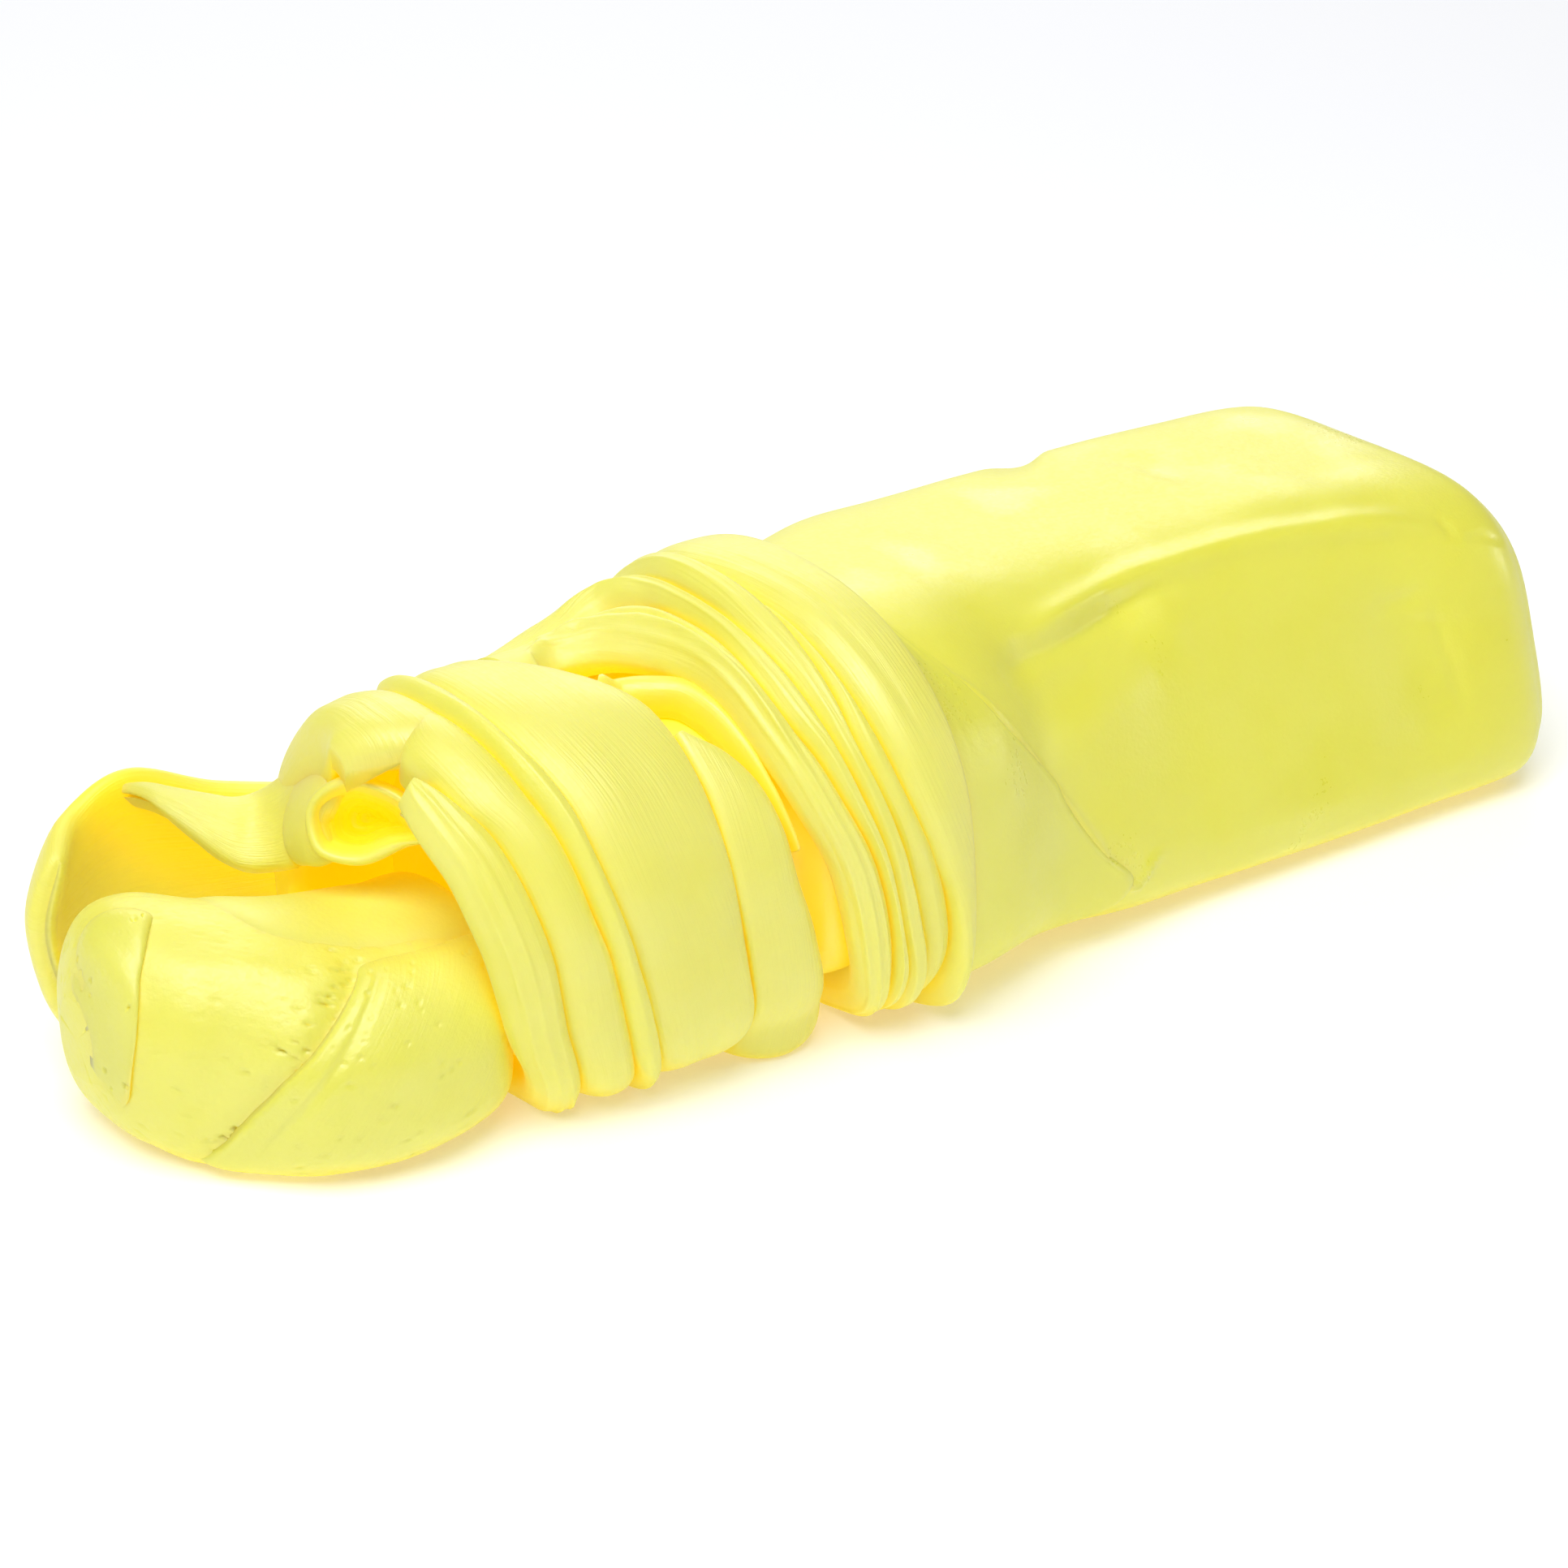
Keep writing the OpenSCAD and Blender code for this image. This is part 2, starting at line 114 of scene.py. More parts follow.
def from_line(points, line):
    """How far each point is from a line of points, and how far along the line, 0 to 1."""
    line = np.asarray(line, float)
    lengths = np.linalg.norm(np.diff(line, axis=0), axis=1)
    done = np.concatenate([[0], np.cumsum(lengths)])
    best = np.full(points.shape[:-1], 1e9)
    along = np.zeros(points.shape[:-1])
    for a, b, l, d0 in zip(line[:-1], line[1:], lengths, done):
        t = np.clip((points - a) @ (b - a) / (l * l), 0, 1)
        d = np.linalg.norm(points - a - t[..., None] * (b - a), axis=-1)
        near = d < best
        best = np.where(near, d, best)
        along = np.where(near, (d0 + t * l) / done[-1], along)
    return best, along


def pressed(points, line, width, depth, fade=0.15):
    """Height of a groove, or a ridge where depth is negative, that follows a line and fades out
    at its ends."""
    d, along = from_line(points, line)
    ends = np.clip(np.minimum(along, 1 - along) / fade, 0, 1)
    return -depth * np.exp(-((d / width) ** 2)) * ends * ends * (3 - 2 * ends)


def clay_surface_nodes():
    """Worked clay: fine laminations along a fold, unevenness from the hand and small pits, as
    height along the normal."""
    tree = bpy.data.node_groups.new("worked_clay", "GeometryNodeTree")
    face, nodes, links = tree.interface, tree.nodes, tree.links
    face.new_socket(name="Geometry", in_out="INPUT", socket_type="NodeSocketGeometry")
    face.new_socket(name="Geometry", in_out="OUTPUT", socket_type="NodeSocketGeometry")
    for name, value in (("Lamination Count", 4.0), ("Lamination Height", 0.0),
                        ("Lamination Wander", 0.6), ("Unevenness", 0.1), ("Unevenness Size", 6.0),
                        ("Pit Depth", 0.0), ("Pit Spacing", 1.2), ("Pit Cover", 0.3)):
        socket = face.new_socket(name=name, in_out="INPUT", socket_type="NodeSocketFloat")
        socket.default_value = value
    face.new_socket(name="Seed", in_out="INPUT", socket_type="NodeSocketInt").default_value = 1
    face.new_socket(name="Clay", in_out="INPUT", socket_type="NodeSocketMaterial")
    given, result = nodes.new("NodeGroupInput"), nodes.new("NodeGroupOutput")

    def math_node(op, a, b=None, c=None):
        n = nodes.new("ShaderNodeMath")
        n.operation = op
        for k, v in enumerate((a, b, c)):
            if v is None:
                continue
            if isinstance(v, (int, float)):
                n.inputs[k].default_value = v
            else:
                links.new(v, n.inputs[k])
        return n.outputs[0]

    def attribute(name):
        n = nodes.new("GeometryNodeInputNamedAttribute")
        n.data_type = "FLOAT"
        n.inputs["Name"].default_value = name
        return n.outputs["Attribute"]

    def noise(vector, scale, w, detail=2.0):
        n = nodes.new("ShaderNodeTexNoise")
        n.noise_dimensions = "4D"
        links.new(vector, n.inputs["Vector"])
        links.new(w, n.inputs["W"])
        if isinstance(scale, (int, float)):
            n.inputs["Scale"].default_value = scale
        else:
            links.new(scale, n.inputs["Scale"])
        n.inputs["Detail"].default_value = detail
        return n.outputs["Fac"]

    place = nodes.new("GeometryNodeInputPosition").outputs[0]
    seed = math_node("MULTIPLY", given.outputs["Seed"], 3.7)
    across, along, skin = attribute("across"), attribute("along"), attribute("skin")
    # laminations: ridges that keep their place across the fold and wander a little along it
    wander = math_node("MULTIPLY", math_node("SUBTRACT", noise(place, 90.0, seed), 0.5),
                       given.outputs["Lamination Wander"])
    phase = math_node("ADD", math_node("MULTIPLY", across, given.outputs["Lamination Count"]),
                      wander)
    wave = math_node("COSINE", math_node("MULTIPLY", phase, 2 * math.pi))
    ridge = math_node("POWER", math_node("MULTIPLY_ADD", wave, 0.5, 0.5), 1.6)
    lane = nodes.new("ShaderNodeCombineXYZ")
    links.new(math_node("MULTIPLY", along, 0.05), lane.inputs[0])
    links.new(phase, lane.inputs[1])
    strength = math_node("MULTIPLY_ADD", noise(lane.outputs[0], 1.0, seed), 1.6, -0.3)
    lamination = math_node("MULTIPLY",
                           math_node("MULTIPLY", ridge, math_node("MAXIMUM", strength, 0.0)),
                           given.outputs["Lamination Height"])
    # unevenness from the hand
    size = math_node("DIVIDE", 1000.0, given.outputs["Unevenness Size"])
    uneven = math_node("MULTIPLY", math_node("SUBTRACT", noise(place, size, seed, 1.0), 0.5),
                       given.outputs["Unevenness"])
    # pits where air was folded in
    cells = nodes.new("ShaderNodeTexVoronoi")
    links.new(place, cells.inputs["Vector"])
    links.new(math_node("DIVIDE", 1000.0, given.outputs["Pit Spacing"]), cells.inputs["Scale"])
    hole = nodes.new("ShaderNodeMapRange")
    hole.interpolation_type = "SMOOTHSTEP"
    links.new(cells.outputs["Distance"], hole.inputs["Value"])
    for name, value in (("From Min", 0.3), ("From Max", 0.08), ("To Min", 0.0), ("To Max", 1.0)):
        hole.inputs[name].default_value = value
    shown = math_node("LESS_THAN", noise(place, 320.0, seed), given.outputs["Pit Cover"])
    pit = math_node("MULTIPLY", math_node("MULTIPLY", hole.outputs[0], shown),
                    math_node("MULTIPLY", attribute("pitted"), given.outputs["Pit Depth"]))
    height = math_node("MULTIPLY", math_node("SUBTRACT", math_node("ADD", lamination, uneven), pit),
                       skin)
    push = nodes.new("ShaderNodeVectorMath")
    push.operation = "SCALE"
    links.new(nodes.new("GeometryNodeInputNormal").outputs[0], push.inputs[0])
    links.new(math_node("MULTIPLY", height, MM), push.inputs["Scale"])
    moved = nodes.new("GeometryNodeSetPosition")
    links.new(given.outputs["Geometry"], moved.inputs["Geometry"])
    links.new(push.outputs[0], moved.inputs["Offset"])
    real = nodes.new("GeometryNodeRealizeInstances")
    links.new(moved.outputs[0], real.inputs[0])
    paint = nodes.new("GeometryNodeSetMaterial")
    links.new(real.outputs[0], paint.inputs["Geometry"])
    links.new(given.outputs["Clay"], paint.inputs["Material"])
    links.new(paint.outputs[0], result.inputs[0])
    return tree


WORKED_CLAY = clay_surface_nodes()
ALL_PIECES = []


def clay_material(name, rough, gloss_patches, grain, streaks, pale):
    """Soft polymer clay: pale lemon, and a little light passes into it. Creases and hollows get
    painted shade, a deeper yellow base colour, and a painted glow of deep yellow emission. rough to
    pale set the finish of one kind of surface."""
    mat = bpy.data.materials.new(name)
    mat.use_nodes = True
    nt = mat.node_tree
    nodes, links = nt.nodes, nt.links
    shader = nodes["Principled BSDF"]
    shader.inputs["IOR"].default_value = 1.55
    shader.inputs["Subsurface Weight"].default_value = 0.35
    shader.inputs["Subsurface Radius"].default_value = (1.0, 0.85, 0.10)
    shader.inputs["Subsurface Scale"].default_value = 0.0016
    shader.inputs["Specular IOR Level"].default_value = 1.0
    shader.inputs["Sheen Weight"].default_value = 0.10
    shader.inputs["Sheen Roughness"].default_value = 0.45
    where = nodes.new("ShaderNodeTexCoord").outputs["Object"]

    def noise(scale, detail, vector=None, lift=0.5):
        n = nodes.new("ShaderNodeTexNoise")
        n.inputs["Scale"].default_value = scale
        n.inputs["Detail"].default_value = detail
        n.inputs["Roughness"].default_value = lift
        links.new(vector or where, n.inputs["Vector"])
        return n.outputs["Fac"]

    def ramp(value, low, high, to_low, to_high):
        n = nodes.new("ShaderNodeMapRange")
        n.interpolation_type = "SMOOTHSTEP"
        links.new(value, n.inputs["Value"])
        for k, v in zip(("From Min", "From Max", "To Min", "To Max"), (low, high, to_low, to_high)):
            n.inputs[k].default_value = v
        return n.outputs[0]

    def blend(factor, a, b):
        n = nodes.new("ShaderNodeMix")
        n.data_type = "RGBA"
        links.new(factor, n.inputs["Factor"])
        for sock, v in ((n.inputs["A"], a), (n.inputs["B"], b)):
            if isinstance(v, tuple):
                sock.default_value = v
            else:
                links.new(v, sock)
        return n.outputs["Result"]

    light_tone, dark_tone = (0.950, 0.905, pale, 1), (0.940, 0.890, pale * 0.75, 1)
    # painted shade and painted glow: the crease and hollow colours and the two glows stand in for
    # light bounced inside the folds and let through them
    crease_painted_shade, hollow_painted_shade = (0.985, 0.84, 0.006, 1), (0.99, 0.83, 0.002, 1)
    no_glow, crease_painted_glow, hollow_painted_glow = (0, 0, 0, 1), (0.30, 0.16, 0.0, 1), (0.42, 0.24, 0.0, 1)
    hollow = nodes.new("ShaderNodeAttribute")
    hollow.attribute_name = "hollow"
    tone = blend(ramp(noise(140, 3), 0.35, 0.7, 0.0, 1.0), light_tone, dark_tone)
    # painted shade: the base colour turns deep orange-yellow where ambient occlusion finds the clay
    # closed in, in creases and near the floor, and in the hollows that the hollow attribute marks
    closed_in = nodes.new("ShaderNodeAmbientOcclusion")
    closed_in.samples = 8
    closed_in.inputs["Distance"].default_value = 0.005
    tone = blend(ramp(closed_in.outputs["AO"], 0.55, 0.1, 0.0, 0.75), tone, crease_painted_shade)
    tone = blend(hollow.outputs["Fac"], tone, hollow_painted_shade)
    links.new(tone, shader.inputs["Base Color"])
    # painted glow: a deep yellow emission in creases and hollows stands in for light that has
    # passed through the thin folds
    painted_glow = blend(ramp(closed_in.outputs["AO"], 0.6, 0.1, 0.0, 0.45), no_glow, crease_painted_glow)
    painted_glow = blend(hollow.outputs["Fac"], painted_glow, hollow_painted_glow)
    links.new(painted_glow, shader.inputs["Emission Color"])
    shader.inputs["Emission Strength"].default_value = 1.0
    # waxy patches polished by the fingers
    patch = ramp(noise(95, 2), 0.5, 0.68, rough, rough - gloss_patches)
    fine = ramp(noise(2600, 2), 0.3, 0.7, -0.04, 0.04)
    both = nodes.new("ShaderNodeMath")
    links.new(patch, both.inputs[0])
    links.new(fine, both.inputs[1])
    links.new(both.outputs[0], shader.inputs["Roughness"])
    # grain, and streaks drawn out along the fold
    lane = nodes.new("ShaderNodeCombineXYZ")
    for k, name_, gain in ((0, "along", 0.12), (1, "across_mm", 5.0)):
        a = nodes.new("ShaderNodeAttribute")
        a.attribute_name = name_
        m = nodes.new("ShaderNodeMath")
        m.operation = "MULTIPLY"
        m.inputs[1].default_value = gain
        links.new(a.outputs["Fac"], m.inputs[0])
        links.new(m.outputs[0], lane.inputs[k])
    drawn = noise(1.0, 3, lane.outputs[0])
    parts = None
    for value, gain in ((noise(3200, 2), grain), (noise(700, 3), grain * 1.6), (drawn, streaks)):
        m = nodes.new("ShaderNodeMath")
        m.operation = "MULTIPLY_ADD"
        m.inputs[1].default_value = gain
        links.new(value, m.inputs[0])
        if parts:
            links.new(parts, m.inputs[2])
        else:
            m.inputs[2].default_value = 0
        parts = m.outputs[0]
    bump = nodes.new("ShaderNodeBump")
    bump.inputs["Distance"].default_value = 0.0001
    bump.inputs["Strength"].default_value = 0.6
    links.new(parts, bump.inputs["Height"])
    links.new(bump.outputs[0], shader.inputs["Normal"])
    return mat


# roughness, gloss of the polished patches, grain, streaks, blue in the tone
CLAY = {
    "clay_moulded": clay_material("clay_moulded", 0.46, 0.16, 0.25, 0.0, 0.095),
    "clay_drawn": clay_material("clay_drawn", 0.50, 0.10, 0.25, 1.0, 0.165),
    "clay_torn": clay_material("clay_torn", 0.50, 0.14, 0.45, 0.5, 0.140),
}


def piece(node, slot, rings, place, marks, **finish):
    """Closes the rings into a skin, works its surface, puts the piece on the root body and hides
    its CAD part.

    marks are per-point values: skin, across, across_mm, along, hollow (how much painted shade and
    painted glow), pitted."""
    rings = rings + place
    m, n = rings.shape[:2]
    points = np.concatenate([rings.reshape(-1, 3), rings[0].mean(0)[None],
                             rings[-1].mean(0)[None]]) * MM
    i, j = np.meshgrid(np.arange(m - 1), np.arange(n), indexing="ij")
    j2 = (j + 1) % n
    quads = np.stack([i * n + j, i * n + j2, (i + 1) * n + j2, (i + 1) * n + j], -1).reshape(-1, 4)
    k = np.arange(n)
    k2 = (k + 1) % n
    last = (m - 1) * n
    caps = np.concatenate([np.stack([k2, k, np.full(n, m * n)], -1),
                           np.stack([last + k, last + k2, np.full(n, m * n + 1)], -1)])
    a, b, c, d = (points[quads[:, q]] for q in range(4))
    volume = (np.einsum("ij,ij->i", a, np.cross(b, c)).sum()
              + np.einsum("ij,ij->i", a, np.cross(c, d)).sum())
    if volume < 0:
        quads, caps = quads[:, ::-1], caps[:, ::-1]
    mesh = bpy.data.meshes.new(node)
    mesh.vertices.add(len(points))
    mesh.vertices.foreach_set("co", points.ravel())
    loops = np.concatenate([quads.ravel(), caps.ravel()])
    sizes = np.concatenate([np.full(len(quads), 4), np.full(len(caps), 3)])
    mesh.loops.add(len(loops))
    mesh.loops.foreach_set("vertex_index", loops)
    mesh.polygons.add(len(sizes))
    mesh.polygons.foreach_set("loop_start", np.concatenate([[0], np.cumsum(sizes)[:-1]]))
    mesh.update(calc_edges=True)
    mesh.validate()
    for name in ("skin", "across", "across_mm", "along", "hollow", "pitted"):
        values = np.broadcast_to(np.asarray(marks.get(name, 0.0), float), (m, n)).ravel()
        layer = mesh.attributes.new(name, "FLOAT", "POINT")
        values = np.concatenate([values, [values[:n].mean(), values[-n:].mean()]])
        layer.data.foreach_set("value", values.astype(np.float32))
    blank = bpy.data.objects.new(node + "_blank", mesh)
    bpy.context.scene.collection.objects.link(blank)
    worked = blank.modifiers.new("worked", "NODES")
    worked.node_group = WORKED_CLAY
    sockets = {s.name: s.identifier for s in WORKED_CLAY.interface.items_tree
               if s.in_out == "INPUT"}
    worked[sockets["Clay"]] = CLAY[slot]
    for name, value in finish.items():
        worked[sockets[name.replace("_", " ").title()]] = value
    shown = blank.evaluated_get(bpy.context.evaluated_depsgraph_get())
    result = bpy.data.meshes.new_from_object(shown)
    bpy.data.objects.remove(blank)
    result.name = "fold_" + node
    result.shade_smooth()
    obj = bpy.data.objects.new("clay_" + node, result)
    bpy.context.scene.collection.objects.link(obj)
    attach(obj, "root")
    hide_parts(node)
    ALL_PIECES.append(obj)
    return obj


def join(kept, added):
    """Makes two skins of the same clay one piece."""
    with bpy.context.temp_override(active_object=kept, selected_editable_objects=[kept, added]):
        bpy.ops.object.join()


BAR_LENGTH, BAR_HALF_WIDTH, BAR_HALF_HEIGHT = 57.0, 17.5, 11.0
X0 = 0.6   # where the block leaves the collar
RING_STEP, FINE_END, ROUND_END = 0.35, 7.0, 1.2   # rings, closer near the end and on its rounding
XE = X0 + BAR_LENGTH
W, H = BAR_HALF_WIDTH, BAR_HALF_HEIGHT
# x, centre y, centre z, half width, half height, squareness, lean, taper
BAR = [
    [X0, -2.0, 12.4, 15.4, 12.3, 2.3, 1.4, 0],
    [X0 + 4, -1.4, 12.1, 15.6, 12.0, 2.4, 1.5, 0],
    [X0 + 10, 0.8, H + 0.8, W - 2.2, H + 0.6, 2.8, 2.0, 0.08],
    [X0 + 16, 1.6, H + 0.3, W - 2.2, H + 0.3, 3.4, 2.2, 0.14],
    [X0 + 24, 2.2, H, W - 2.4, H, 4.2, 2.2, 0.18],
    [XE - 14, 2.0, H - 0.2, W - 2.2, H - 0.2, 4.8, 2.0, 0.17],
    [XE - 6, 1.4, H - 0.4, W - 1.8, H - 0.4, 4.8, 1.6, 0.13],
    [XE - 2.4, 1.2, H - 0.6, W - 2.6, H - 1.4, 4.2, 1.4, 0.12],
    [XE - 0.8, 1.0, H - 0.7, W - 4.2, H - 3.0, 3.6, 1.2, 0.11],
    [XE, 0.8, H - 0.7, W - 6.6, H - 5.2, 3.2, 1.0, 0.1]]

low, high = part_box("bar_block")
bar_rings = on_lump(BAR, np.linspace(X0, XE, 60)[:, None], np.linspace(0, 359, 180)[None])
PLACE = np.array([low.x / MM - X0,
                  (low.y + high.y) / 2 / MM
                  - (bar_rings[..., 1].min() + bar_rings[..., 1].max()) / 2, 0.0])

bar_x = np.concatenate([np.arange(X0, XE - FINE_END, RING_STEP),
                        np.linspace(XE - FINE_END, XE - ROUND_END, 30)[:-1],
                        XE - ROUND_END + ROUND_END * np.sin(np.linspace(0, math.pi / 2, 16))])
bar_angle = even_angles(BAR, bar_x, 320)
flat = on_lump(BAR, bar_x[:, None], bar_angle)


def on_bar(*spots):
    spots = np.array(spots, float)
    return on_lump(BAR, spots[:, 0], spots[:, 1])


shoulder_line = on_bar((49.8, 143), (45.4, 139), (42.4, 136), (39, 134), (36, 131), (32.6, 129),
                       (29.2, 129), (26.4, 130), (24, 131), (19.8, 134), (15.6, 137), (11.2, 140))
wrap_line = on_bar((0.6, 110), (1.2, 119), (2.6, 130), (4.2, 138), (5.6, 148), (7.8, 164),
                   (10, 177), (11.6, 181), (13.4, 187), (14.8, 195), (16.2, 205), (16.9, 205),
                   (17.4, 201), (18.4, 195), (20.4, 192))
# spots, width, depth (a ridge where negative) and fade of each mark left by the fingers
BAR_MARKS = (
    (((33, 107), (37.6, 106), (41.6, 109), (44, 120), (47, 131)), 2.6, -0.30, 0.3),
    (((7, 146), (13, 145), (17.4, 143), (21.4, 141), (25, 141), (28, 142)), 1.3, 0.55, 0.25),
    (((8, 155), (13, 158), (17.4, 156), (21.4, 150), (25, 146)), 3.4, 0.75, 0.25),
    (((10, 172), (15, 173), (19, 167), (23, 159), (27.5, 149)), 2.2, -0.25, 0.25),
    (((46, 160), (44, 176), (44.5, 205)), 4.0, 0.45, 0.3),
    (((47, 172), (47.0, 178), (48, 186)), 0.5, 0.16, 0.3),
    (((41.6, 173), (44, 173), (47, 171)), 0.6, 0.12, 0.3),
    (((49.2, 138), (49.8, 147), (49.8, 156)), 0.35, 0.16, 0.3),
    (((50.4, 153), (52, 153), (54.6, 156)), 0.35, 0.14, 0.3),
    (((31, 70), (34, 78), (36.4, 88), (38, 98)), 1.5, 0.22, 0.4),
    (((30, 40), (31, 52), (33, 66)), 5.0, 0.6, 0.45),
)
bar_height_map = pressed(flat, shoulder_line, 1.1, -0.85, 0.15)
for spots, width, depth, fade in BAR_MARKS:
    bar_height_map = bar_height_map + pressed(flat, on_bar(*spots), width, depth, fade)
bar_height_map = bar_height_map + pressed(flat, wrap_line, 0.26, -0.34, 0.08)
bar_rings = on_lump(BAR, bar_x[:, None], bar_angle, bar_height_map)
piece("bar_block", "clay_moulded", bar_rings, PLACE, {"skin": 1.0, "along": bar_x[:, None]},
      unevenness=0.30, unevenness_size=13.0, seed=3)

# ---- the wrap on the bar's shoulder ----------------------------------------------------
# A thin skin of clay dragged from the twist onto the bar. It is pressed on, thins out to a torn
# edge that runs across the bar's near side, and ends in a small turned-up lip.


PER_ROW = 12          # rings from one row of a strip to the next
INNER_COLUMNS = 7     # points across the hidden side of a strip


def strip(stations, rows, deep, shape, per=PER_ROW, columns=44, widen=0.12, under=(0.0, 0.0),
          lines=()):
    """Rings of a fold that lies on a lump between two creases. shape gives its height over 0 to 1
    across it, under says how far each side is rolled under, in millimetres, and lines are
    (spots, width, depth) of grooves and ridges on it."""
    count = (len(rows) - 1) * per + 1
    at = np.linspace(0, len(rows) - 1, count)
    r = smooth_rows(rows, at)
    wave = np.linspace(-1, 1, columns)
    u = (0.5 + 0.5 * (0.55 * np.sin(wave * math.pi / 2) + 0.45 * wave))[None]
    span = np.maximum(np.abs(r[:, 2] - r[:, 0]), 0.2)[:, None]
    w = u + (2 * u - 1) * widen / span
    x = r[:, :1] + (r[:, 2:3] - r[:, :1]) * w
    angle = r[:, 1:2] + (r[:, 3:4] - r[:, 1:2]) * w
    t = (at / (len(rows) - 1))[:, None]
    height = shape(u, t)
    bare = on_lump(stations, x, angle)
    for spots, width, depth in lines:
        spots = np.array(spots, float)
        height = height + pressed(bare, on_lump(stations, spots[:, 0], spots[:, 1]), width, depth)
    outer = on_lump(stations, x, angle, height)
    v = np.linspace(1, 0, INNER_COLUMNS)[None]
    v2 = v + (2 * v - 1) * widen / span
    v2 = v2 + np.where(v > 0.5, -under[1] / span, under[0] / span) * np.abs(2 * v - 1)
    inner = on_lump(stations, r[:, :1] + (r[:, 2:3] - r[:, :1]) * v2,
                    r[:, 1:2] + (r[:, 3:4] - r[:, 1:2]) * v2, deep)
    rings = np.concatenate([outer, inner], 1)
    lengths = np.linalg.norm(np.diff(outer[:, columns // 2], axis=0), axis=1)
    run = np.concatenate([[0], np.cumsum(lengths)])
    edge = np.clip((1 - np.abs(2 * u - 1)) * span / 0.5, 0, 1)
    ends = np.clip(np.minimum(at, at[-1] - at) * 1.5, 0, 1)[:, None]
    zeros = np.zeros((count, INNER_COLUMNS))
    marks = {"skin": np.concatenate([edge * ends, zeros], 1),
             "across": np.concatenate([u + 0 * span, zeros], 1),
             "across_mm": np.concatenate([u * span, zeros], 1),
             "along": np.concatenate([run[:, None] + 0 * u, run[:, None] + zeros], 1)}
    return rings, marks


def fold(lift, left, right, crest=0.0, sharp_left=3.0, sharp_right=3.0, foot=0.0, foot_at=0.86,
         back=0.0, back_at=0.33):
    """Height over a fold: a crest, with each side rolled down into its crease, a foot that bulges
    near the floor and a swelling over the back of the neck."""
    def shape(u, t):
        v = 2 * u - 1
        a = np.clip((crest - v) / (1 + crest), 0, 1)
        b = np.clip((v - crest) / (1 - crest), 0, 1)
        h = (lift - left * (1 - np.sqrt(1 - np.minimum(a, 0.9999) ** sharp_left))
             - right * (1 - np.sqrt(1 - np.minimum(b, 0.9999) ** sharp_right)))
        return (h + foot * np.exp(-(((t - foot_at) / 0.07) ** 2)) * (1 - 0.5 * v * v)
                + back * np.exp(-(((t - back_at) / 0.09) ** 2)))
    return shape


WRAP_ROWS = [
    [X0, 96, X0 + 0.4, 96], [X0, 103, X0 + 0.7, 102], [X0, 110, X0 + 0.9, 109],
    [X0, 120, X0 + 1.2, 118],
    [X0, 132, X0 + 2.4, 130], [X0, 146, X0 + 4.0, 144], [X0, 160, X0 + 5.8, 158],
    [X0, 174, X0 + 8.6, 173], [X0, 188, X0 + 12.4, 187], [X0, 202, X0 + 15.6, 199],
    [X0, 214, X0 + 14.0, 214], [X0, 228, X0 + 9.0, 228], [X0, 242, X0 + 4.4, 240]]


def wrap_shape(u, t):
    slope = (1.25 - 0.75 * u - 0.25 * np.sin(np.pi * u)
             - 0.35 * np.clip((u - 0.93) / 0.07, 0, 1) ** 2)
    return slope * np.clip(t * 5 + 0.3, 0, 1) * np.clip((1 - t) * 5 + 0.2, 0, 1)


wrap_rings, wrap_marks = strip(BAR, WRAP_ROWS, -0.3, wrap_shape, columns=90)
piece("shoulder_wrap", "clay_moulded", wrap_rings, PLACE, wrap_marks,
      lamination_count=4.0, lamination_height=0.02, unevenness=0.12, unevenness_size=7.0, seed=8)

# ---- the collar of pleats --------------------------------------------------------------
# Five drawn folds lie side by side round the neck where the clay was twisted. Each is a rope of
# clay pulled thin, pressed against the next one along a deep crease, with stretch lines on it.
TWIST = [
    [-38, 0.0, 12.0, 8.0, 8.0, 2.2, 0.0, 0],
    [-34, -1.0, 12.0, 10.4, 10.2, 2.2, 0.2, 0],
    [-28, -2.2, 11.9, 12.2, 12.0, 2.2, 0.4, 0],
    [-22, -3.2, 11.8, 12.8, 12.2, 2.2, 0.6, 0],
    [-16, -3.2, 11.9, 13.2, 11.8, 2.2, 0.8, 0],
    [-10, -2.8, 12.3, 14.4, 12.1, 2.2, 1.0, 0],
    [-4, -2.3, 12.8, 15.6, 12.7, 2.3, 1.3, 0],
    [2, -2.0, 12.9, 16.2, 12.9, 2.3, 1.5, 0],
    [8, -1.0, 12.4, 17.0, 12.4, 2.6, 1.6, 0]]
XR = X0 - 0.1   # the last crease, a hairline away from the block
DEEP = -2.6   # how far a fold reaches down into the lump

